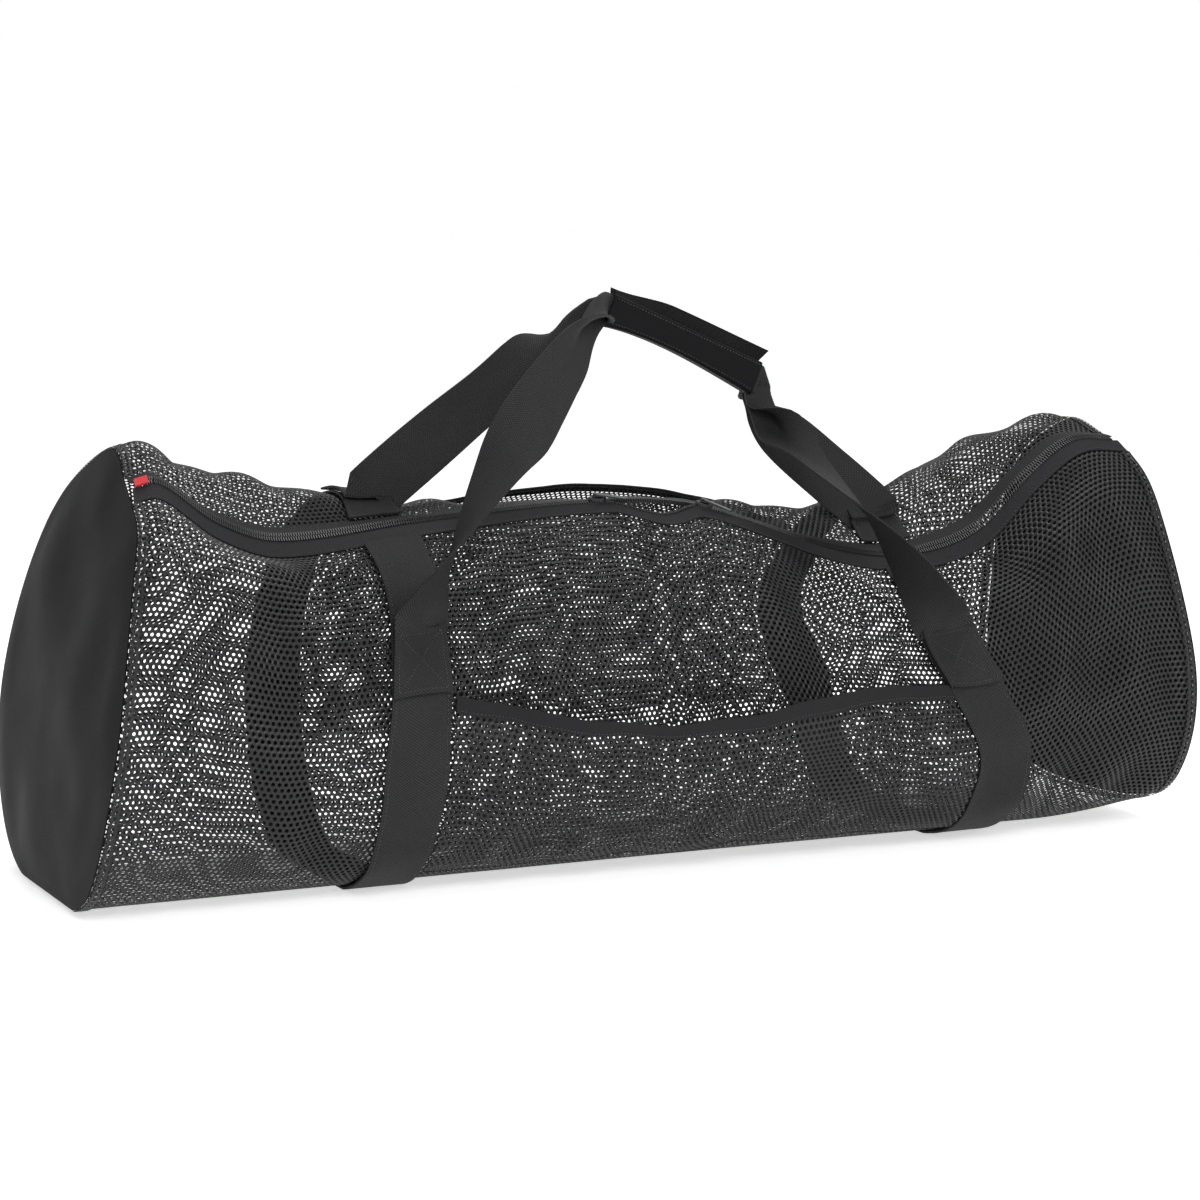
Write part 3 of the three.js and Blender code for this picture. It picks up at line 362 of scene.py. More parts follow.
# What most of the cloths share, and what most of the plain finishes share
clothBase = {
    "repeat": 2.0, "weaveShare": 0.5, "noiseShare": 0.25, "fuzzShare": 0.3, "roughness": 0.6,
    "relief": 0.2, "reliefStrength": 0.6, "specular": 0.14, "sheen": 0.0,
}
plainBase = {"noiseScale": 600.0, "relief": 0.1, "specular": 0.35, "metallic": 0.0, "sheen": 0.0}
materials = {
    # Polyester net yarn: matte, with a faint filament gloss.
    "net": plainMaterial("knitted_net_yarn", {
        "dark": "#0b0b0c", "light": "#222224", "roughness": 0.4, "noiseScale": 900.0, "relief": 0.2,
        "specular": 0.3,
    }),
    # Polypropylene webbing with fine crosswise ribs.
    "webbing": clothMaterial("ribbed_webbing", {
        "dark": "#0a0a0b", "light": "#363637", "threadU": 1.5, "threadV": 2.2, "weaveShare": 0.6,
        "fuzzShare": 0.25, "noiseScale": 45.0, "relief": 0.4, "reliefStrength": 0.9, "specular": 0.12,
    }),
    # Coated plain-weave nylon of the ends and the grip.
    "panel": clothMaterial("coated_nylon", {
        "dark": "#060607", "light": "#1a1a1c", "threadU": 0.9, "threadV": 0.9, "noiseScale": 22.0,
        "specular": 0.07,
    }),
    # Zipper tape: fine herringbone.
    "tape": clothMaterial("zipper_tape_weave", {
        "dark": "#0c0c0d", "light": "#323234", "threadU": 1.0, "threadV": 1.4, "repeat": 4.0,
        "weaveShare": 0.6, "noiseShare": 0.2, "fuzzShare": 0.25, "noiseScale": 60.0, "roughness": 0.65,
        "specular": 0.12,
    }),
    # Pocket hems: narrow binding cloth.
    "binding": clothMaterial("hem_binding", {
        "dark": "#09090a", "light": "#272729", "threadU": 0.9, "threadV": 1.2, "noiseScale": 60.0,
    }),
    # Loop pile of the closing strip: dull and fuzzy.
    "loop_pile": clothMaterial("loop_pile", {
        "dark": "#070708", "light": "#161617", "threadU": 1.3, "threadV": 1.3, "weaveShare": 0.3,
        "noiseShare": 0.2, "fuzzShare": 0.6, "noiseScale": 300.0, "roughness": 0.92, "relief": 0.8,
        "reliefStrength": 1.0, "specular": 0.05, "sheen": 0.05,
    }),
    # Moulded nylon teeth.
    "coil": plainMaterial("nylon_teeth", {
        "dark": "#151516", "light": "#2b2b2d", "roughness": 0.35, "noiseScale": 400.0, "specular": 0.4,
    }),
    # Black-painted zinc sliders.
    "slider": plainMaterial("painted_zinc", {
        "dark": "#1a1a1b", "light": "#3a3a3c", "roughness": 0.36, "noiseScale": 250.0, "specular": 0.5,
        "metallic": 0.5,
    }),
    # Sewing thread, a little lighter than the webbing.
    "thread": plainMaterial("black_thread", {
        "dark": "#1c1c1d", "light": "#404042", "roughness": 0.5, "sheen": 0.1,
    }),
    # Pale thread that shows along the ends' seams.
    "pale_thread": plainMaterial("pale_thread", {
        "dark": "#6f6f70", "light": "#a8a8a8", "roughness": 0.6, "sheen": 0.1,
    }),
    # Red woven tab.
    "red_tab": clothMaterial("red_tab_weave", {
        "dark": "#a0101a", "light": "#e8343c", "threadU": 0.8, "threadV": 0.8, "noiseShare": 0.2,
        "fuzzShare": 0.2, "noiseScale": 80.0, "reliefStrength": 0.5, "specular": 0.25, "sheen": 0.05,
    }),
}
print("materials", len(materials))


# Mesh makers
def addObject(name, data):
    thing = bpy.data.objects.new(name, data)
    bpy.context.scene.collection.objects.link(thing)
    return thing


# A piece of the bag from its mesh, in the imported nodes' place where it has any
def addPiece(name, mesh, finish, nodes):
    mesh.materials.append(materials[finish])
    piece = addObject(name, mesh)
    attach(piece, "root")
    if nodes:
        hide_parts(*nodes)
    return piece


# A new piece from points in millimetres and faces of one size, riding on the bag.
def buildMesh(name, points, faces, finish, uv=None, smooth=True, nodes=()):
    mesh = bpy.data.meshes.new(name)
    faces = np.asarray(faces, np.int32)
    corners = faces.shape[1]
    mesh.vertices.add(len(points))
    placed = (np.asarray(points, float) + frameShift) * mm
    mesh.vertices.foreach_set("co", placed.astype(np.float32).ravel())
    mesh.loops.add(faces.size)
    mesh.loops.foreach_set("vertex_index", faces.ravel())
    mesh.polygons.add(len(faces))
    mesh.polygons.foreach_set("loop_start", np.arange(0, faces.size, corners, dtype=np.int32))
    mesh.polygons.foreach_set("use_smooth", np.full(len(faces), smooth))
    if uv is not None:
        layer = mesh.uv_layers.new(name="UVMap")
        layer.data.foreach_set("uv", (np.asarray(uv, np.float32)[faces.ravel()] * mm).ravel())
    mesh.update(calc_edges=True)
    mesh.validate()
    return addPiece(name, mesh, finish, nodes)


# Cloth with two faces: grids of points, closed round the edges, or all the way round a ring.
def closedGrid(name, front, back, uv, finish, nodes=(), ring=False):
    rows, columns = front.shape[:2]
    index = np.arange(rows * columns).reshape(rows, columns)
    behind = index + rows * columns
    a, b = (grid if ring else grid[:-1] for grid in (index, behind))
    c, d = (np.roll(grid, -1, 0) if ring else grid[1:] for grid in (index, behind))
    quads = [
        (a[:, :-1], c[:, :-1], c[:, 1:], a[:, 1:]), (b[:, :-1], b[:, 1:], d[:, 1:], d[:, :-1]),
        (a[:, 0], b[:, 0], d[:, 0], c[:, 0]), (a[:, -1], c[:, -1], d[:, -1], b[:, -1]),
    ]
    if not ring:
        first, last = (index[0], behind[0]), (index[-1], behind[-1])
        quads.append((first[0][:-1], first[0][1:], first[1][1:], first[1][:-1]))
        quads.append((last[0][:-1], last[1][:-1], last[1][1:], last[0][1:]))
    points = np.concatenate([front.reshape(-1, 3), back.reshape(-1, 3)])
    faces = np.concatenate([np.stack(quad, -1).reshape(-1, 4) for quad in quads])
    a, b, c, d = (points[faces[:, k]] for k in range(4))
    volume = (a * np.cross(b, c)).sum() + (a * np.cross(c, d)).sum()
    if volume < 0:
        faces = faces[:, ::-1]
    uvs = np.concatenate([uv.reshape(-1, 2)] * 2)
    piece = buildMesh(name, points, faces, finish, uvs, True, nodes)
    piece.data.set_sharp_from_angle(angle=math.radians(40))


# Knitted net: hexagonal holes between strands whose middle line stands a little proud. place(a, b, out)
# gives the points at shares a of the width and b of the height.
def hexNet(name, place, width, height, look, span=(0.0, 1.0), nodes=()):
    pitch = width / round(width / look["pitch"])
    rowStep = pitch * math.sqrt(3) / 2
    rows = max(1, round(height / rowStep))
    columns = round(width / pitch)
    ring = np.array([(math.sin(math.pi / 3 * k), math.cos(math.pi / 3 * k)) for k in range(6)])
    row, column = np.meshgrid(np.arange(rows + 1), np.arange(columns + 1), indexing="ij")
    middleA = (column + 0.5 * (row % 2)).ravel() / columns
    middleB = row.ravel() / rows
    keep = (middleA >= span[0]) & (middleA < span[1] + (1e-6 if span[1] == 1 else 0))
    middleA, middleB = middleA[keep], middleB[keep]
    radius = pitch / math.sqrt(3)
    grids = []
    for share, out in ((1.0, look["crown"]), (look["hole"], 0.0)):
        a = middleA[:, None] + ring[:, 0] * radius * share / width
        b = middleB[:, None] + ring[:, 1] * radius * share / (rows * rowStep)
        a, b = np.clip(a, 0, 1), np.clip(b, 0, 1)
        grids.append(place(a, b, np.full(a.shape, out)))
    points = np.concatenate([grids[0].reshape(-1, 3), grids[1].reshape(-1, 3)])
    cells = len(middleA)
    k = np.arange(6)
    start = 6 * np.arange(cells)[:, None]
    outer, outerNext = start + k, start + (k + 1) % 6
    inner, innerNext = outer + 6 * cells, outerNext + 6 * cells
    faces = np.stack([outer, outerNext, innerNext, inner], -1).reshape(-1, 4)
    a, b, c, d = (points[faces[:, n]] for n in range(4))
    area = np.linalg.norm(np.cross(c - a, d - b), axis=1)
    faces = faces[area > 0.05]
    buildMesh(name, points, faces, "net", None, False, nodes)
    print(name, "cells", cells, "faces", len(faces))


# Front and back grids of a band: rows[k](distance, rise) gives its points.
def bandFromLine(rows, places, thickness):
    front = np.array([[row(c, thickness / 2) for c in places] for row in rows])
    back = np.array([[row(c, -thickness / 2) for c in places] for row in rows])
    return front, back


# A run of small stitches from pairs of end points, each a long eight-sided bead.
def stitches(name, points, ups, finish):
    ends = np.asarray(points, float).reshape(-1, 2, 3)
    ups = np.asarray(ups, float).reshape(-1, 3)
    run = ends[:, 1] - ends[:, 0]
    length = np.linalg.norm(run, axis=1, keepdims=True)
    # Stitches that the bag's own weight presses into the floor are left out.
    good = (length[:, 0] > 0.05) & (ends[:, :, 2].min(1) > 1.0)
    ends, ups, run, length = ends[good], ups[good], run[good], length[good]
    run = run / length
    ups = ups / np.linalg.norm(ups, axis=1, keepdims=True)
    side = np.cross(run, ups)
    middle = ends.mean(1) + ups * thread["rise"]
    w, h = thread["width"] / 2, thread["height"] / 2
    corners = [
        ends[:, 0] + ups * thread["rise"] * 0.3, middle + side * w, middle + ups * h,
        middle - side * w, middle - ups * h, ends[:, 1] + ups * thread["rise"] * 0.3,
    ]
    verts = np.stack(corners, 1).reshape(-1, 3)
    pattern = np.array([
        [0, 1, 2], [0, 2, 3], [0, 3, 4], [0, 4, 1], [5, 2, 1], [5, 3, 2], [5, 4, 3], [5, 1, 4],
    ])
    faces = (6 * np.arange(len(ends))[:, None, None] + pattern[None]).reshape(-1, 3)
    buildMesh(name, verts, faces, finish)


# Pairs of ends of stitches along sample(distance), which gives a point and the way up.
def stitchLine(sample, total, pitch, share=0.7):
    count = max(1, int(total / pitch))
    step = total / count
    points, ups = [], []
    for n in range(count):
        low, high = (n + 0.5 - share / 2) * step, (n + 0.5 + share / 2) * step
        start, up = sample(low)
        end, _ = sample(high)
        points.append((start, end))
        ups.append(up)
    return points, ups


# Stitches along several lines, each with its sample(distance), length, pitch and stitch share
def sew(name, lines, finish="thread"):
    runs, ups = [], []
    for line in lines:
        found = stitchLine(*line)
        runs += found[0]
        ups += found[1]
    stitches(name, runs, ups, finish)


thread = {"width": 0.8, "height": 0.6, "rise": 0.15}

# Body net
net = {"pitch": 5.2, "hole": 0.57, "crown": 0.55, "bands": 4}


def bodyPlace(a, b, out):
    return skin((a - 0.5) * bag["length"], b, bag["netWall"] * 0.5 + out)


meanLength = float(skinLength.mean())
bands = net["bands"]
for n in range(bands):
    hexNet(f"body_net_{n + 1}", bodyPlace, bag["length"], meanLength, net,
           (n / bands, (n + 1) / bands), ["mesh_front", "mesh_bottom", "mesh_rear"] if n == 0 else ())

# Doubled net strips where the net is folded over at the two ends
seam = {
    "width": 9.0, "out": 1.2, "pitch": 4.4, "hole": 0.5, "crown": 0.4, "stitchIn": 4, "stitchOut": 0.6,
    "stitchPitch": 7.0, "stitchShare": 0.35,
}
for name, end in (("left", -1), ("right", 1)):
    def seamPlace(a, b, out, end=end):
        x = end * (halfLength - b * seam["width"])
        return skin(x, a, bag["netWall"] * 0.5 + seam["out"] + out)

    hexNet(f"end_seam_{name}", seamPlace, meanLength, seam["width"], seam)

# Fabric ends
panel = {"dome": 9.0, "gap": 0.4, "thickness": 1.2, "rings": 36, "fold": 2.4}
panelDents = [
    {"across": -0.2, "up": 0.66, "size": 0.12, "depth": 0.7},
    {"across": 0.35, "up": 0.42, "size": 0.15, "depth": 0.8},
    {"across": -0.4, "up": 0.26, "size": 0.11, "depth": 0.6},
]


def endPanel(name, direction, dents, node):
    x = direction * halfLength
    v = np.linspace(0, 1, 181)
    rim = skin(np.full(v.shape, x), v, bag["netWall"] * 0.5)
    station = 0 if direction < 0 else gridX - 1
    across = np.linspace(0, 1, 14)[:, None]
    rim = np.concatenate([rim, rim[-1] + (rim[0] - rim[-1]) * across[1:]])
    middle = np.array([0.0, rim[:, 1].mean(), rim[:, 2].mean()])
    share = np.linspace(0, 1, panel["rings"]) ** 0.8
    share[0] = 0.002
    y = middle[1] + (rim[None, :, 1] - middle[1]) * share[:, None]
    z = middle[2] + (rim[None, :, 2] - middle[2]) * share[:, None]
    swell = panel["dome"] * (1 - share[:, None] ** 3) * np.ones_like(y)
    for dent in dents:
        far = np.hypot(y - dent["across"] * halfDepth, z - dent["up"] * bag["height"])
        swell -= dent["depth"] * panel["dome"] * np.exp(-(far / (dent["size"] * bag["height"])) ** 2)
    pull = np.sin(y / 23 + z / 61) * np.sin(z / 37 - y / 90 + 1.2)
    swell += panel["fold"] * pull * smoothStep(0, 0.25, 1 - share[:, None])
    swell = np.maximum(swell, 0)
    base = x + leanOf[station] * (z / bag["height"]) ** 2
    outer = np.stack([base + direction * (panel["gap"] + swell + panel["thickness"]), y, z], 2)
    inner = np.stack([base + direction * (panel["gap"] + swell), y, z], 2)
    uv = np.stack([y, z], 2)
    closedGrid(name, outer, inner, uv, "panel", [node])


endPanel("left_end", -1, panelDents, "end_panel_left")
endPanel("right_end", 1, [], "end_panel_right")
print("ends")

# Straps
straps = {
    "left": {"place": -245.0, "pull": 0.0},
    "right": {"place": 295.0, "pull": 42.0},
}
strapLook = {
    "rows": 260, "columns": 13, "thickness": 1.7, "gap": 1.8, "edgeStitch": 3.0, "stitchPitch": 3.4,
}
strapOut = bag["netWall"] + strapLook["gap"] + bag["webbingThickness"] / 2
for strap in straps.values():
    height = skin(np.full(gridV, strap["place"]), shareV)[:, 2] / bag["height"]
    strap["line"] = strap["place"] - strap["pull"] * smoothStep(0.2, 0.55, height)


def strapMiddle(strap, v):
    return np.interp(v, shareV, strap["line"])


def upAt(x, v):
    return gridMix(skinNormals, np.asarray(float(x)), np.asarray(float(v)))


for name, strap in straps.items():
    v = np.linspace(0.0, 1.0, strapLook["rows"])
    across = np.linspace(-0.5, 0.5, strapLook["columns"]) * bag["webbing"]
    x = strapMiddle(strap, v)[:, None] + across[None, :]
    vv = np.broadcast_to(v[:, None], x.shape)
    half = strapLook["thickness"] / 2
    front, back = skin(x, vv, strapOut + half), skin(x, vv, strapOut - half)
    uv = np.stack([np.broadcast_to(across[None, :] + 25, x.shape), vv * meanLength], 2)
    closedGrid(f"webbing_{name}", front, back, uv, "webbing", [f"strap_{name}"])
    lines = []
    for edge in (-1, 1):
        inset = edge * (bag["webbing"] / 2 - strapLook["edgeStitch"])

        def sample(distance, inset=inset, strap=strap):
            share = distance / meanLength
            x = strapMiddle(strap, share) + inset
            return skin(x, share, strapOut + half), upAt(x, share)

        lines.append((sample, meanLength, strapLook["stitchPitch"]))
    sew(f"webbing_{name}_stitches", lines)
print("straps")

# Zipper tapes and teeth
tapeX = np.linspace(-halfLength + 1, halfLength - 1, 300)
tapeTop = zipper["tapeThickness"] + bag["netWall"] / 2
for side in ("front", "rear"):
    inward = 2 * zipper["clearance"] + np.linspace(0, 1, 5) * (zipper["tape"] + 1.0)
    x, inwardGrid = np.meshgrid(tapeX, inward, indexing="ij")
    front = zipAt(x, side, inwardGrid, tapeTop)
    back = zipAt(x, side, inwardGrid, bag["netWall"] / 2)
    uv = np.stack([inwardGrid, x + halfLength], 2)
    closedGrid(f"tape_{side}", front, back, uv, "tape", [f"zip_tape_{side}"])

    def tapeSample(distance, side=side):
        x = -halfLength + distance
        point = zipAt(x, side, zipper["stitchIn"], tapeTop)
        return point, zipAt(x, side, zipper["stitchIn"], tapeTop + 1) - point

    sew(f"tape_{side}_stitches", [(tapeSample, bag["length"], zipper["stitchPitch"])])


# Many small blocks with narrowed tops, each with its own place and directions.
def boxes(name, centres, alongs, acrosses, ups, sizes, nodes):
    corners = [
        (-1, -1, -1), (1, -1, -1), (1, 1, -1), (-1, 1, -1),
        (-0.55, -0.9, 1), (0.55, -0.9, 1), (0.55, 0.9, 1), (-0.55, 0.9, 1),
    ]
    pattern = np.array([
        [0, 3, 2, 1], [4, 5, 6, 7], [0, 1, 5, 4], [1, 2, 6, 5], [2, 3, 7, 6], [3, 0, 4, 7],
    ])
    half = np.asarray(sizes) / 2
    verts = np.stack([
        centres + alongs * (a * half[0]) + acrosses * (b * half[1]) + ups * (c * half[2])
        for a, b, c in corners
    ], 1).reshape(-1, 3)
    faces = (8 * np.arange(len(centres))[:, None, None] + pattern[None]).reshape(-1, 4)
    buildMesh(name, verts, faces, "coil", None, False, nodes)


for side, offset in (("front", 0.0), ("rear", 0.5)):
    count = int((bag["length"] - 8) / zipper["pitch"])
    x = -halfLength + 4 + (np.arange(count) + offset) * zipper["pitch"]
    inward = 3 * zipper["clearance"] + zipper["tape"] + zipper["teeth"] / 2
    out = (bag["netWall"] + zipper["tapeThickness"]) / 2
    centre = zipAt(x, side, inward, out)
    ahead = zipAt(x + 1, side, inward, out) - centre
    across = zipAt(x, side, inward + 1, out) - centre
    up = np.cross(ahead, across) if side == "front" else np.cross(across, ahead)
    for way in (ahead, across, up):
        way /= np.linalg.norm(way, axis=1, keepdims=True)
    size = (zipper["pitch"] * 0.72, zipper["teeth"] + 0.6, zipper["teethHeight"])
    boxes(f"teeth_{side}", centre, ahead, across, up, size, [f"zip_teeth_{side}"])
print("zipper")

# Sliders, pullers and the red tab
zipTop = (bag["netWall"] + zipper["tapeThickness"] + zipper["teethHeight"]) / 2 + 2 * zipper["clearance"]


def zipFrame(x):
    middle = zipAt(x, "front", zipHalfWidth, 0)
    ahead = zipAt(x + 5, "front", zipHalfWidth, 0) - middle
    across = unit(zipAt(x, "front", zipHalfWidth + 5, 0) - middle)
    up = unit(np.cross(ahead, across))
    return middle + up * zipTop, np.cross(across, up), across, up


# Solid from an outline in a zipper frame, between two heights, with rounded edges.
def prism(name, outline, low, high, frameOf, finish, nodes=(), bevel=0.6):
    origin, along, across, up = frameOf
    count = len(outline)
    rings = [[origin + along * a + across * b + up * h for a, b in outline] for h in (low, high)]
    mesh = bpy.data.meshes.new(name)
    faces = [list(range(count))[::-1], list(range(count, 2 * count))]
    faces += [[k, (k + 1) % count, count + (k + 1) % count, count + k] for k in range(count)]
    mesh.from_pydata([tuple((p + frameShift) * mm) for ring in rings for p in ring], [], faces)
    piece = addPiece(name, mesh, finish, nodes)
    rounding = piece.modifiers.new("rounding", "BEVEL")
    rounding.width = bevel * mm
    rounding.segments = 3
    return piece


def roundedBar(length, width, count=10):
    r = width / 2
    angles = np.linspace(math.pi / 2, 1.5 * math.pi, count)
    left = [(r + r * math.cos(t), r * math.sin(t)) for t in angles]
    right = [(length - r - r * math.cos(t), -r * math.sin(t)) for t in angles]
    return left + right


for name, x, direction in (
    ("1", zipper["openStart"] - zipper["sliderLength"] / 2, 1),
    ("2", zipper["openStart"] + zipper["openLength"] + zipper["sliderLength"] / 2, -1),
):
    at = zipFrame(x)
    half, long = zipper["sliderWidth"] / 2, zipper["sliderLength"]
    edge = [(-direction * long / 2, half * 0.55), (direction * long * 0.2, half),
            (direction * long / 2, half * 0.5)]
    plate = [(a, -b) for a, b in edge] + edge[::-1]
    if direction < 0:
        plate.reverse()
    # The plate reaches down to the teeth that it closes.
    prism(f"slider_{name}_plate", plate, zipper["plateLow"], zipper["plateHigh"], at, "slider",
          [f"slider_{name}"])
    a, b = zipper["bridgeHalf"]
    bridge = [(-a, -b), (a, -b), (a, b), (-a, b)]
    prism(f"slider_{name}_bridge", bridge, zipper["bridgeLow"], zipper["sliderHeight"], at, "slider", (), 0.9)
    origin, along, across, up = at
    turn, droop = zipper["pullerTurn"], zipper["pullerDroop"]
    flatWay = along * math.cos(turn) + across * math.sin(turn)
    way = flatWay * math.cos(droop) - up * math.sin(droop)
    side = across * math.cos(turn) - along * math.sin(turn)
    lifted = up * math.cos(droop) + flatWay * math.sin(droop)
    start = origin - along * zipper["sliderLength"] * 0.3 + up * (zipper["sliderHeight"] - 0.2)
    prism(f"puller_{name}_tab", roundedBar(zipper["pullerLength"], zipper["pullerWidth"]),
          0, zipper["pullerThickness"], (start, way, side, lifted), "slider", [f"puller_{name}"], 0.4)

tab = {"length": 11.0, "width": 10.6, "thickness": 1.6}
tabX, tabIn = np.meshgrid(np.linspace(0, 1, 9), np.linspace(-0.5, 0.5, 9), indexing="ij")
tabX, tabIn = -halfLength + 2 + tabX * tab["length"], zipHalfWidth + tabIn * tab["width"]
tabOut = (bag["netWall"] + zipper["tapeThickness"] + zipper["teethHeight"]) / 2 + zipper["clearance"]
tabFaces = [zipAt(tabX, "front", tabIn, tabOut + rise) for rise in (tab["thickness"], 0.0)]
closedGrid("red_tab", tabFaces[0], tabFaces[1],
           np.stack([tabX + halfLength, tabIn], 2), "red_tab", ["zip_end_tab"])
print("sliders")

# Pockets
pocketLook = {
    "pitch": 5.2, "hole": 0.57, "crown": 0.55, "gap": 4.0, "sideGap": 3.0, "taut": 0.12, "span": 480.0,
}
hem = {"width": 12.0, "thickness": 1.4, "out": 1.8, "stitchPitch": 3.0}
pockets = {
    "front": {
        "puff": 22.0, "foot": 20.0, "footGap": 2.5, "hemHeight": 132, "riseLeft": 34, "riseRight": 14,
    },
    "rear": {"puff": 20.0, "foot": 90.0, "footGap": 4.5, "hemDrop": 86, "hemDip": 50},
}


def preparePocket(side, pocket):
    shares = np.linspace(0, 1, 61)
    guess = straps["left"]["place"] + (straps["right"]["place"] - straps["left"]["place"]) * shares
    hems, feet = [], []
    for a, x in zip(shares, guess):
        if side == "front":
            rise = pocket["riseLeft"] if a < 0.5 else pocket["riseRight"]
            hems.append(shareAtHeight(x, pocket["hemHeight"] + rise * (1 - 2 * a) ** 2, side))
        else:
            hems.append(shareAtDrop(x, pocket["hemDrop"] + pocket["hemDip"] * (1 - 2 * a) ** 2, side))
        feet.append(shareAtHeight(x, pocket["foot"], side))
    blur = np.ones(13) / 13
    smooth = lambda values: np.convolve(np.pad(values, 6, "reflect", reflect_type="odd"), blur, "valid")
    pocket["shares"], pocket["hems"], pocket["feet"] = shares, smooth(hems), smooth(feet)


def pocketPlace(pocket):
    def place(a, b, out):
        top = np.interp(a, pocket["shares"], pocket["hems"])
        foot = np.interp(a, pocket["shares"], pocket["feet"])
        v = top + (foot - top) * b
        sideGap = bag["webbing"] / 2 + pocketLook["sideGap"]
        low, high = strapMiddle(straps["left"], v) + sideGap, strapMiddle(straps["right"], v) - sideGap
        swell = pocket["puff"] * np.sin(math.pi * a) * (1 - np.clip(b, 0, 1)) ** 1.2
        gap = pocketLook["gap"] + (pocket["footGap"] - pocketLook["gap"]) * b
        return skin(low + (high - low) * a, v, bag["netWall"] + gap + swell + out)

    # The hem is taut, so it bridges the body's small waves: an average along the bag.
    def taut(a, b, out):
        a, b = np.asarray(a, float), np.asarray(b, float)
        reach = pocketLook["taut"] * np.sin(math.pi * np.clip(a, 0, 1)) * (1 - np.clip(b, 0, 1))
        return sum(place(a + reach * shift, b, out) for shift in (-1, -0.6, -0.2, 0.2, 0.6, 1)) / 6

    return taut


for side, pocket in pockets.items():
    preparePocket(side, pocket)
    place = pocketPlace(pocket)
    edge, centre = (place(np.array(0.5), np.array(b), 0.0) for b in (0.0, 0.5))
    drop = np.linalg.norm(edge - centre) * 2
    hexNet(f"{side}_pocket_net", place, pocketLook["span"], drop, pocketLook,
           nodes=[f"{side}_pocket"])
    a = np.linspace(0, 1, 121)
    across = np.linspace(0, 1, 5)
    aa, cc = np.meshgrid(a, across * hem["width"] / drop, indexing="ij")
    grids = [place(aa, cc, hem["out"] + n * hem["thickness"]) for n in (1, 0)]
    uv = np.stack([aa * pocketLook["span"], cc * drop], 2)[..., ::-1]
    closedGrid(f"{side}_hem_binding", grids[0], grids[1], uv, "binding", [f"{side}_pocket_hem"])

    def hemSample(distance, place=place, drop=drop):
        a = np.array(distance / pocketLook["span"])
        b = np.array((hem["width"] - 2.2) / drop)
        point = place(a, b, hem["out"] + hem["thickness"])
        return point, place(a, b, hem["out"] + hem["thickness"] + 1) - point

    sew(f"{side}_hem_stitches", [(hemSample, pocketLook["span"], hem["stitchPitch"])])
print("pockets")

# Handles
handle = {
    "seat": 50.0, "dropLeft": 95.0, "dropRight": 77.0, "dropRear": 26.0, "gap": 2.3, "fold": 2.0,
    "bow": 0.42, "gripLength": 152.0, "gripHeight": 427.0, "gripPlace": 69.0, "gripTilt": 23.2,
    "steps": 56,
    "boxInset": 21.0, "boxLow": 0.06, "boxHigh": 0.94, "stitchPitch": 2.6, "gripMargin": 4,
    "seatRows": 22, "bowDepth": 22, "bowReach": 14,
}
legs = {
    "frontLeft": [
        (0, 0, 0, 0), (0.08, 40, 0, 0), (0.18, 72, 0, 0), (0.28, 93, 0, 0), (0.38, 117, 0, 0),
        (0.5, 165, 0, 0), (0.62, 187, -0.04, 0), (0.74, 205, -0.2, 0), (0.84, 240, -0.6, 0),
        (0.92, 270, -1, 0), (1, 270, -1, 0),
    ],
    "frontRight": [
        (0, 0, 0, 0), (0.1, -50, 0, 0), (0.22, -74, 0, 0), (0.34, -95, 0, 0), (0.46, -115, 0, 0),
        (0.58, -128, 0, 0), (0.7, -145, -0.1, 0), (0.8, -190, -0.4, 0), (0.92, -270, -1, 0),
        (1, -270, -1, 0),
    ],
    "rearLeft": [
        (0, 180, 0, 0), (0.06, 180, 0, -0.45), (0.2, 180, 0, -0.2), (0.3, 183, 0, 0),
        (0.55, 192, 0.03, 0),
        (0.72, 168, 0.2, 0), (0.84, 120, 0.6, 0), (0.92, 90, 1, 0), (1, 90, 1, 0),
    ],
    "rearRight": [
        (0, 180, 0, 0), (0.07, 180, 0, 0.6), (0.2, 180, 0, 0.35), (0.3, 180, 0, 0), (0.6, 188, 0.05, 0),
        (0.8, 225, 0.5, 0), (0.92, 270, 1, 0), (1, 270, 1, 0),
    ],
}
legColumns = ("at", "turn", "fold", "skew")
legs = {name: [dict(zip(legColumns, row)) for row in rows] for name, rows in legs.items()}
bandThickness = bag["webbingThickness"]
tilt = math.radians(handle["gripTilt"])
gripAlong = np.array([math.cos(tilt), 0, -math.sin(tilt)])
gripUp = np.array([math.sin(tilt), 0, math.cos(tilt)])
gripMiddle = np.array([handle["gripPlace"], 0, handle["gripHeight"]])
bandHalf = handle["fold"] + bandThickness / 2 + 0.25
handleOut = strapOut + bandThickness + handle["gap"]
frontWay = np.array([0.0, -1.0, 0.0])


def bandRow(middle, across, out, fold, along=None, skew=0.0):
    bend = math.pi * handle["fold"]
    turn = math.copysign(max(abs(fold), 0.001), fold) * math.pi
    radius = bend / turn
    full = (bag["webbing"] - bend) / 2 * math.sin(turn / 2) + radius * (1 - math.cos(turn / 2))

    def point(distance, rise):
        angle = turn * min(0.5, max(-0.5, distance / bend))
        beyond = math.copysign(max(0, abs(distance) - bend / 2), distance)
        a = radius * math.sin(angle) + beyond * math.cos(angle) - math.sin(angle) * rise
        o = radius * (1 - math.cos(angle)) + beyond * math.sin(angle) - full / 2 + math.cos(angle) * rise
        place = middle + across * a + out * o
        return place if along is None else place + along * (skew * distance)

    return point


def gripEnd(side, direction):
    end = gripMiddle + gripAlong * direction * (handle["gripLength"] / 2 + handle["gripMargin"])
    return end + np.array([0, (-1 if side == "front" else 1) * bandHalf, 0])


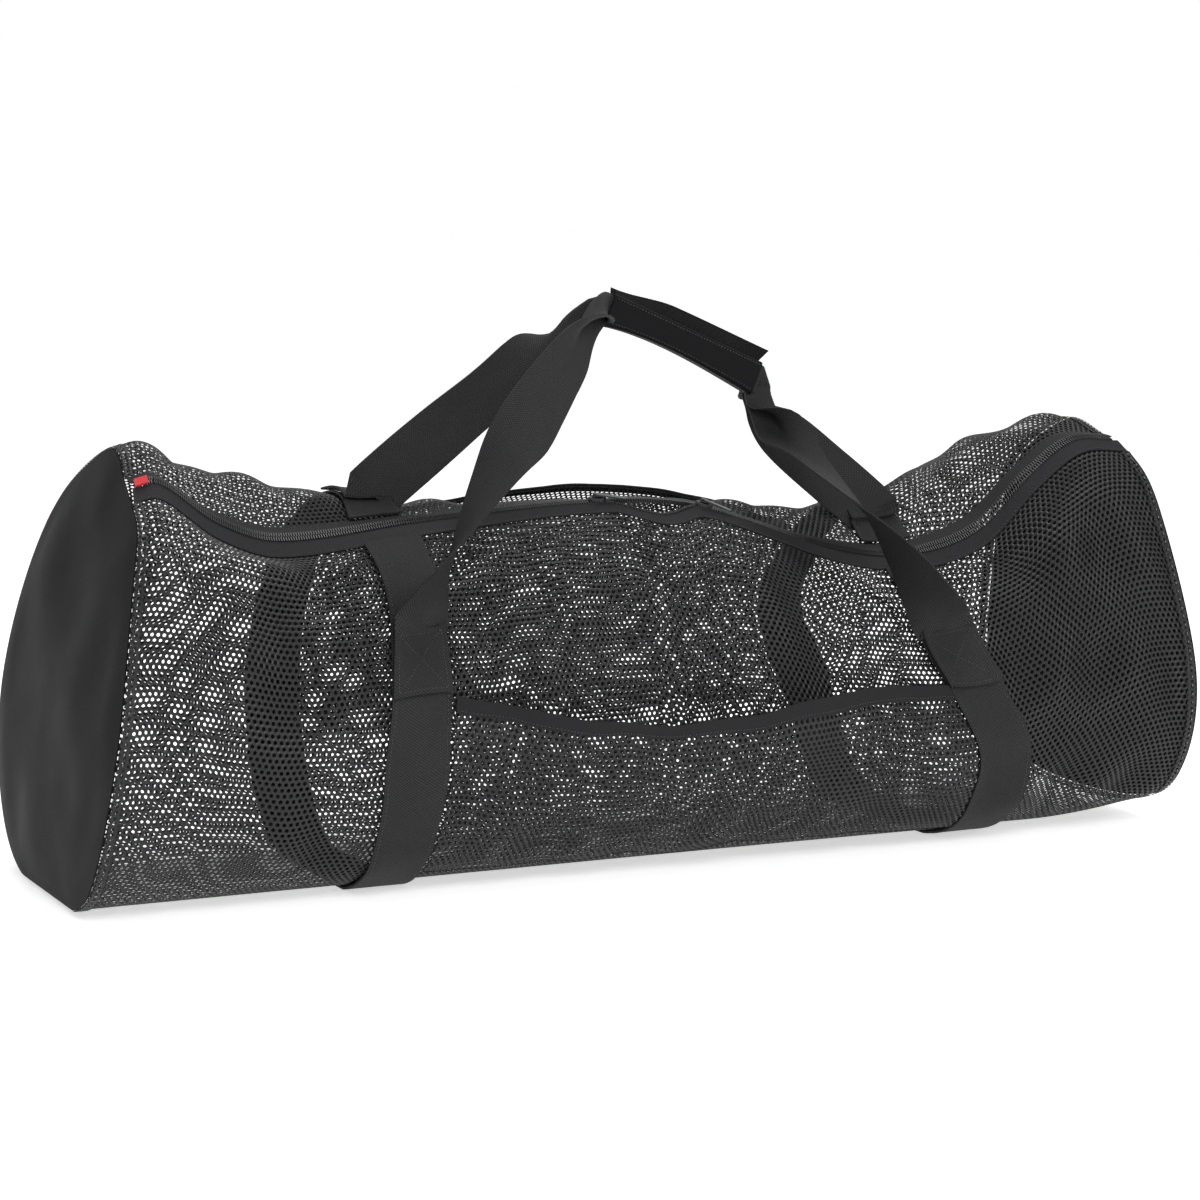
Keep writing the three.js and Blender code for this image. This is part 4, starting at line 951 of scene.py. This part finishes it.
def seatRows(strap, side, drop):
    near = shareAtDrop(strap["place"], drop, side)
    far = shareAtDrop(strap["place"], drop + handle["seat"], side)
    rows = []
    for v in np.linspace(far, near, handle["seatRows"]):
        def point(distance, rise, v=v):
            way = -1 if side == "rear" else 1
            return skin(strapMiddle(strap, v) + way * distance, v, handleOut + rise)
        rows.append(point)
    return rows


def legRows(seat, turns, end, lift, arrive):
    start = seat[-1](0, 0)
    control = np.array([start, start + lift, end + arrive, end])
    t = np.linspace(0, 1, 401)[:, None]
    line = ((1 - t) ** 3 * control[0] + 3 * (1 - t) ** 2 * t * control[1]
            + 3 * (1 - t) * t ** 2 * control[2] + t ** 3 * control[3])
    steps = runAlong(line)
    rows = []
    for n in range(handle["steps"]):
        share = (n + 1) / (handle["steps"] + 1)
        at = share * steps[-1]
        behind, middle, ahead = (
            np.array([np.interp(at + step, steps, line[:, c]) for c in range(3)]) for step in (-1, 0, 1)
        )
        tangent = unit(ahead - behind)
        flatWay = unit(np.cross(tangent, frontWay))
        facing = unit(np.cross(flatWay, tangent))
        angle = math.radians(track(turns, "turn", share))
        across = flatWay * math.cos(angle) - facing * math.sin(angle)
        out = facing * math.cos(angle) + flatWay * math.sin(angle)
        fold, skew = track(turns, "fold", share), track(turns, "skew", share)
        rows.append(bandRow(middle, across, out, fold, tangent, skew))
    return rows


def gripRows(side):
    way = 1 if side == "front" else -1
    return [
        bandRow(gripEnd(side, d), frontWay * way, gripUp * way, -way) for d in np.linspace(-1, 1, 15)
    ]


# Where the hand has pressed the grip, its lower edge bows up between the ends
def gripBow(points):
    away = points - (gripMiddle - gripAlong * handle["gripLength"] / 2)
    share = np.clip(away @ gripAlong / handle["gripLength"], 0, 1)
    height = away @ gripUp
    inside = (height < 0) & (height > -handle["bowDepth"]) & (np.abs(away @ frontWay) < handle["bowReach"])
    lift = np.where(inside, -handle["bow"] * height * np.sin(math.pi * share ** 0.75), 0)
    return points + gripUp * lift[..., None]


def makeHandle(side, left, right):
    seats = [seatRows(straps[end], side, way["drop"]) for end, way in (("left", left), ("right", right))]
    (leftSeat, rightSeat), ends = seats, (gripEnd(side, -1), gripEnd(side, 1))
    leftLeg, rightLeg = (
        legRows(seat, way["turns"], end, np.array(way["lift"]), np.array(way["arrive"]))
        for seat, way, end in zip(seats, (left, right), ends)
    )
    back = reversed(rightSeat + rightLeg)
    turned = [lambda distance, rise, row=row: row(-distance, rise) for row in back]
    rows = leftSeat + leftLeg + gripRows(side) + turned
    bend = math.pi * handle["fold"] / 2
    places = [-25, -24, -18, -12, -6, -bend, -bend / 2, 0, bend / 2, bend, 6, 12, 18, 24, 25]
    front, back = (gripBow(grid) for grid in bandFromLine(rows, places, strapLook["thickness"]))
    middles = np.array([row(0, 0) for row in rows])
    run = runAlong(middles)
    across, along = np.meshgrid(np.array(places) + 25, run)
    closedGrid(f"carry_{side}", front, back, np.stack([across, along], 2), "webbing", [f"handle_{side}"])
    sewn = []
    for seat in seats:
        def box(u, w, seat=seat):
            place = w * (len(seat) - 1)
            k = min(len(seat) - 2, int(place))
            top = strapLook["thickness"] / 2
            low, high = seat[k](u, top), seat[k + 1](u, top)
            point = low + (high - low) * (place - k)
            return point, seat[k](u, top + 1) - low
        sewn.append(box)
    seams = []
    inset, low, high = handle["boxInset"], handle["boxLow"], handle["boxHigh"]
    for box in sewn:
        lines = [
            ((-inset, low), (inset, low)), ((-inset, high), (inset, high)),
            ((-inset, low), (-inset, high)), ((inset, low), (inset, high)),
            ((-inset, low), (inset, high)), ((inset, low), (-inset, high)),
        ]
        for start, end in lines:
            length = math.hypot(end[0] - start[0], (end[1] - start[1]) * handle["seat"])

            def sample(distance, start=start, end=end, length=length, box=box):
                t = distance / length
                return box(start[0] + (end[0] - start[0]) * t, start[1] + (end[1] - start[1]) * t)

            seams.append((sample, length, handle["stitchPitch"]))
    sew(f"carry_{side}_box_stitches", seams)


legWays = {
    "frontLeft": {"drop": handle["dropLeft"], "lift": (40, -30, 120), "arrive": (-18, -65, 18)},
    "frontRight": {"drop": handle["dropRight"], "lift": (-80, -30, 130), "arrive": (-4, 24, -47)},
    "rearLeft": {"drop": handle["dropRear"], "lift": (30, 8, 24), "arrive": (-46, 20, -33)},
    "rearRight": {"drop": handle["dropRear"], "lift": (-24, 8, 30), "arrive": (0, 45, -25)},
}
for side in ("front", "rear"):
    ways = [dict(legWays[side + end], turns=legs[side + end]) for end in ("Left", "Right")]
    makeHandle(side, ways[0], ways[1])

# Grip wrap, its open flap and the loop strip
wrap = {
    "thickness": 1.6, "flapHeight": 14.0, "flapLean": 4.0, "corner": 9.0, "stripThickness": 1.0,
    "ripple": 0.8, "rippleRun": 19.0, "stitchPitch": 3.0, "stripFoot": 0.12, "stripRise": 0.76,
    "stripStart": 4, "stripShare": 0.94, "stripBehind": 0.3,
}
halfHeight = ((bag["webbing"] - math.pi * handle["fold"]) / 2 + handle["fold"] + bandThickness) / 2 + 0.5
halfThick = 2 * bandHalf + 0.25


def gripPoint(w, h, along):
    start = gripMiddle - gripAlong * handle["gripLength"] / 2
    return start + gripAlong * along - frontWay * w + gripUp * h


# Outline round the folded handles, with rounded corners and flats between them
def ringOutline(grow):
    corner = handle["fold"]
    w, h, r = halfThick - corner, halfHeight - corner, corner + grow
    arcs = []
    for right, up, first in ((1, -1, -0.5), (1, 1, 0.0), (-1, 1, 0.5), (-1, -1, 1.0)):
        angles = [(first + k / 12) * math.pi for k in range(7)]
        arcs.append([(right * w + r * math.cos(t), up * h + r * math.sin(t)) for t in angles])
    full = []
    for n, arc in enumerate(arcs):
        (fromW, fromH), (toW, toH) = arc[-1], arcs[(n + 1) % 4][0]
        full += arc
        for t in (k / 6 for k in range(1, 6)):
            full.append((fromW + (toW - fromW) * t, fromH + (toH - fromH) * t))
    return full


along = np.linspace(0, handle["gripLength"], 41)
outerRing, innerRing = ringOutline(wrap["thickness"]), ringOutline(0.0)
front, back = (
    gripBow(np.array([[gripPoint(w, h, s) for s in along] for w, h in ring]))
    for ring in (outerRing, innerRing)
)
roundRun = np.cumsum([0] + [math.dist(a, b) for a, b in zip(outerRing, outerRing[1:])])
uv = np.stack(np.meshgrid(roundRun, along, indexing="ij"), 2)
closedGrid("grip_tube", front, back, uv, "panel", ["grip_wrap"], ring=True)
top = halfHeight + wrap["thickness"] - 0.4
foot = halfThick - handle["fold"]
hh, ss = np.meshgrid(np.linspace(0, 1, 9), along, indexing="ij")


# Height of the flap along the grip: low where the flap begins at the left, full at the right
def flapRise(along):
    share = np.clip(along / handle["gripLength"], 0, 1)
    return wrap["flapHeight"] * (0.42 + 0.58 * smoothStep(0.0, 0.42, share))


# The flap's free corner at the right reaches out to a point
def flapReach(along, up):
    return wrap["corner"] * up * smoothStep(0.78, 1.0, np.clip(along / handle["gripLength"], 0, 1))


# Points of the flap at shares of its height: out lies behind its face
def flapPoint(up, along, out):
    ripple = wrap["ripple"] * np.sin(along / wrap["rippleRun"]) * up
    w = foot + wrap["flapLean"] * up - wrap["thickness"] - out + ripple
    h = top + up * flapRise(along)
    return gripPoint(w[..., None], h[..., None], (along + flapReach(along, up))[..., None])


flapFront = flapPoint(hh, ss, 0.0)
flapBack = flapFront - frontWay * wrap["thickness"]
closedGrid("grip_flap", flapBack, flapFront, np.stack([hh * wrap["flapHeight"], ss], 2), "panel")
stripShare = wrap["stripFoot"] + wrap["stripRise"] * hh
stripS = ss * wrap["stripShare"] + wrap["stripStart"]
stripBack = flapPoint(stripShare, stripS, wrap["stripBehind"])
stripFront = stripBack + frontWay * wrap["stripThickness"]
stripUv = np.stack([stripShare * wrap["flapHeight"], stripS], 2)
closedGrid("loop_strip", stripFront, stripBack, stripUv, "loop_pile", ["grip_loop_strip"])


def gripSeam(distance, h):
    point = gripBow(gripPoint(-(halfThick + wrap["thickness"]), h, distance))
    return point, frontWay


sew("grip_stitches", [
    (lambda d, h=h: gripSeam(d + 2, h), handle["gripLength"] - 4, wrap["stitchPitch"])
    for h in (halfHeight - 1.5, -halfHeight + 2.5)
])
print("grip")

# Pale stitches of the end seams
for name, end in (("left", -1), ("right", 1)):
    def seamSample(distance, end=end):
        x, v = end * (halfLength - seam["stitchIn"]), distance / meanLength
        return skin(x, v, bag["netWall"] * 0.5 + seam["out"] + seam["stitchOut"]), upAt(x, v)

    line = (seamSample, meanLength, seam["stitchPitch"], seam["stitchShare"])
    sew(f"end_seam_{name}_stitches", [line], "pale_thread")

# Camera at the photo's angle
view = {"azimuth": -25.5, "elevation": 7.6, "distance": 2.65, "lens": 93.15, "aim": (0.010, 0.0, 0.180),
        "sensor": 36.0, "shift": (-18, 36), "frame": 1200}
azimuth, elevation = math.radians(view["azimuth"]), math.radians(view["elevation"])
aim = Vector(view["aim"]) + Vector(frameShift * mm)
away = Vector((math.sin(azimuth) * math.cos(elevation), -math.cos(azimuth) * math.cos(elevation),
               math.sin(elevation)))
cameraData = bpy.data.cameras.new("camera")
camera = addObject("camera", cameraData)
camera.location = aim + away * view["distance"]
camera.rotation_euler = (-away).to_track_quat("-Z", "Y").to_euler()
cameraData.lens = view["lens"]
cameraData.sensor_width = view["sensor"]
cameraData.shift_x, cameraData.shift_y = (pixels / view["frame"] for pixels in view["shift"])
bpy.context.scene.camera = camera

# Pale floor and soft studio light
stage = {
    "floorSide": 30.0, "floorColour": "#f4f4f4", "floorGlow": 0.55, "horizon": 1.0, "zenith": 0.4,
    "horizonTop": 0.15, "zenithFoot": 0.7,
}
floorMesh = bpy.data.meshes.new("floor")
side = stage["floorSide"]
floorCorners = [(-side, -side, 0), (side, -side, 0), (side, side, 0), (-side, side, 0)]
floorMesh.from_pydata(floorCorners, [], [(0, 1, 2, 3)])
floor = addObject("floor", floorMesh)
floorMaterial, _, floorShader, _, _ = newMaterial("pale_floor", {"specular": 0.1, "sheen": 0.0})
floorShader.inputs["Base Color"].default_value = srgb(stage["floorColour"])
floorShader.inputs["Roughness"].default_value = 0.9
# A lit table, as in a product photo.
floorShader.inputs["Emission Color"].default_value = srgb("#ffffff")
floorShader.inputs["Emission Strength"].default_value = stage["floorGlow"]
floorMesh.materials.append(floorMaterial)
floor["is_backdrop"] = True

lights = [
    {"name": "key", "place": (-0.4, -2.2, 1.7), "size": 1.1, "power": 30.0},
    {"name": "fill", "place": (2.2, -1.4, 1.2), "size": 1.6, "power": 10.0},
    {"name": "top", "place": (0.3, 0.5, 2.6), "size": 2.0, "power": 36.0},
]
for light in lights:
    data = bpy.data.lights.new(light["name"], "AREA")
    data.size = light["size"]
    data.energy = light["power"]
    lamp = addObject(light["name"], data)
    lamp.location = light["place"]
    lamp.rotation_euler = (Vector((0, 0, 0.2)) - lamp.location).to_track_quat("-Z", "Y").to_euler()
    lamp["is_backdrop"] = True

# Studio surround: white at the height of the eye, dimmer overhead.
world = bpy.data.worlds.new("studio")
bpy.context.scene.world = world
world.use_nodes = True
studio = world.node_tree
direction = addNode(studio, "ShaderNodeTexCoord", {}, {}).outputs["Generated"]
rise = addNode(studio, "ShaderNodeSeparateXYZ", {}, {0: direction}).outputs[2]
glow = addNode(studio, "ShaderNodeMapRange", {"interpolation_type": "SMOOTHSTEP"}, {
    "Value": rise, "From Min": stage["horizonTop"], "From Max": stage["zenithFoot"],
    "To Min": stage["horizon"], "To Max": stage["zenith"],
}).outputs[0]
studio.nodes["Background"].inputs[0].default_value = srgb("#ffffff")
studio.links.new(glow, studio.nodes["Background"].inputs[1])
bpy.context.scene.view_settings.view_transform = "Standard"
print("stage")

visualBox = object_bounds()
boxesOf = {"cad": cadBox, "visual": visualBox}
{key: [list(corner) for corner in box] for key, box in boxesOf.items()}
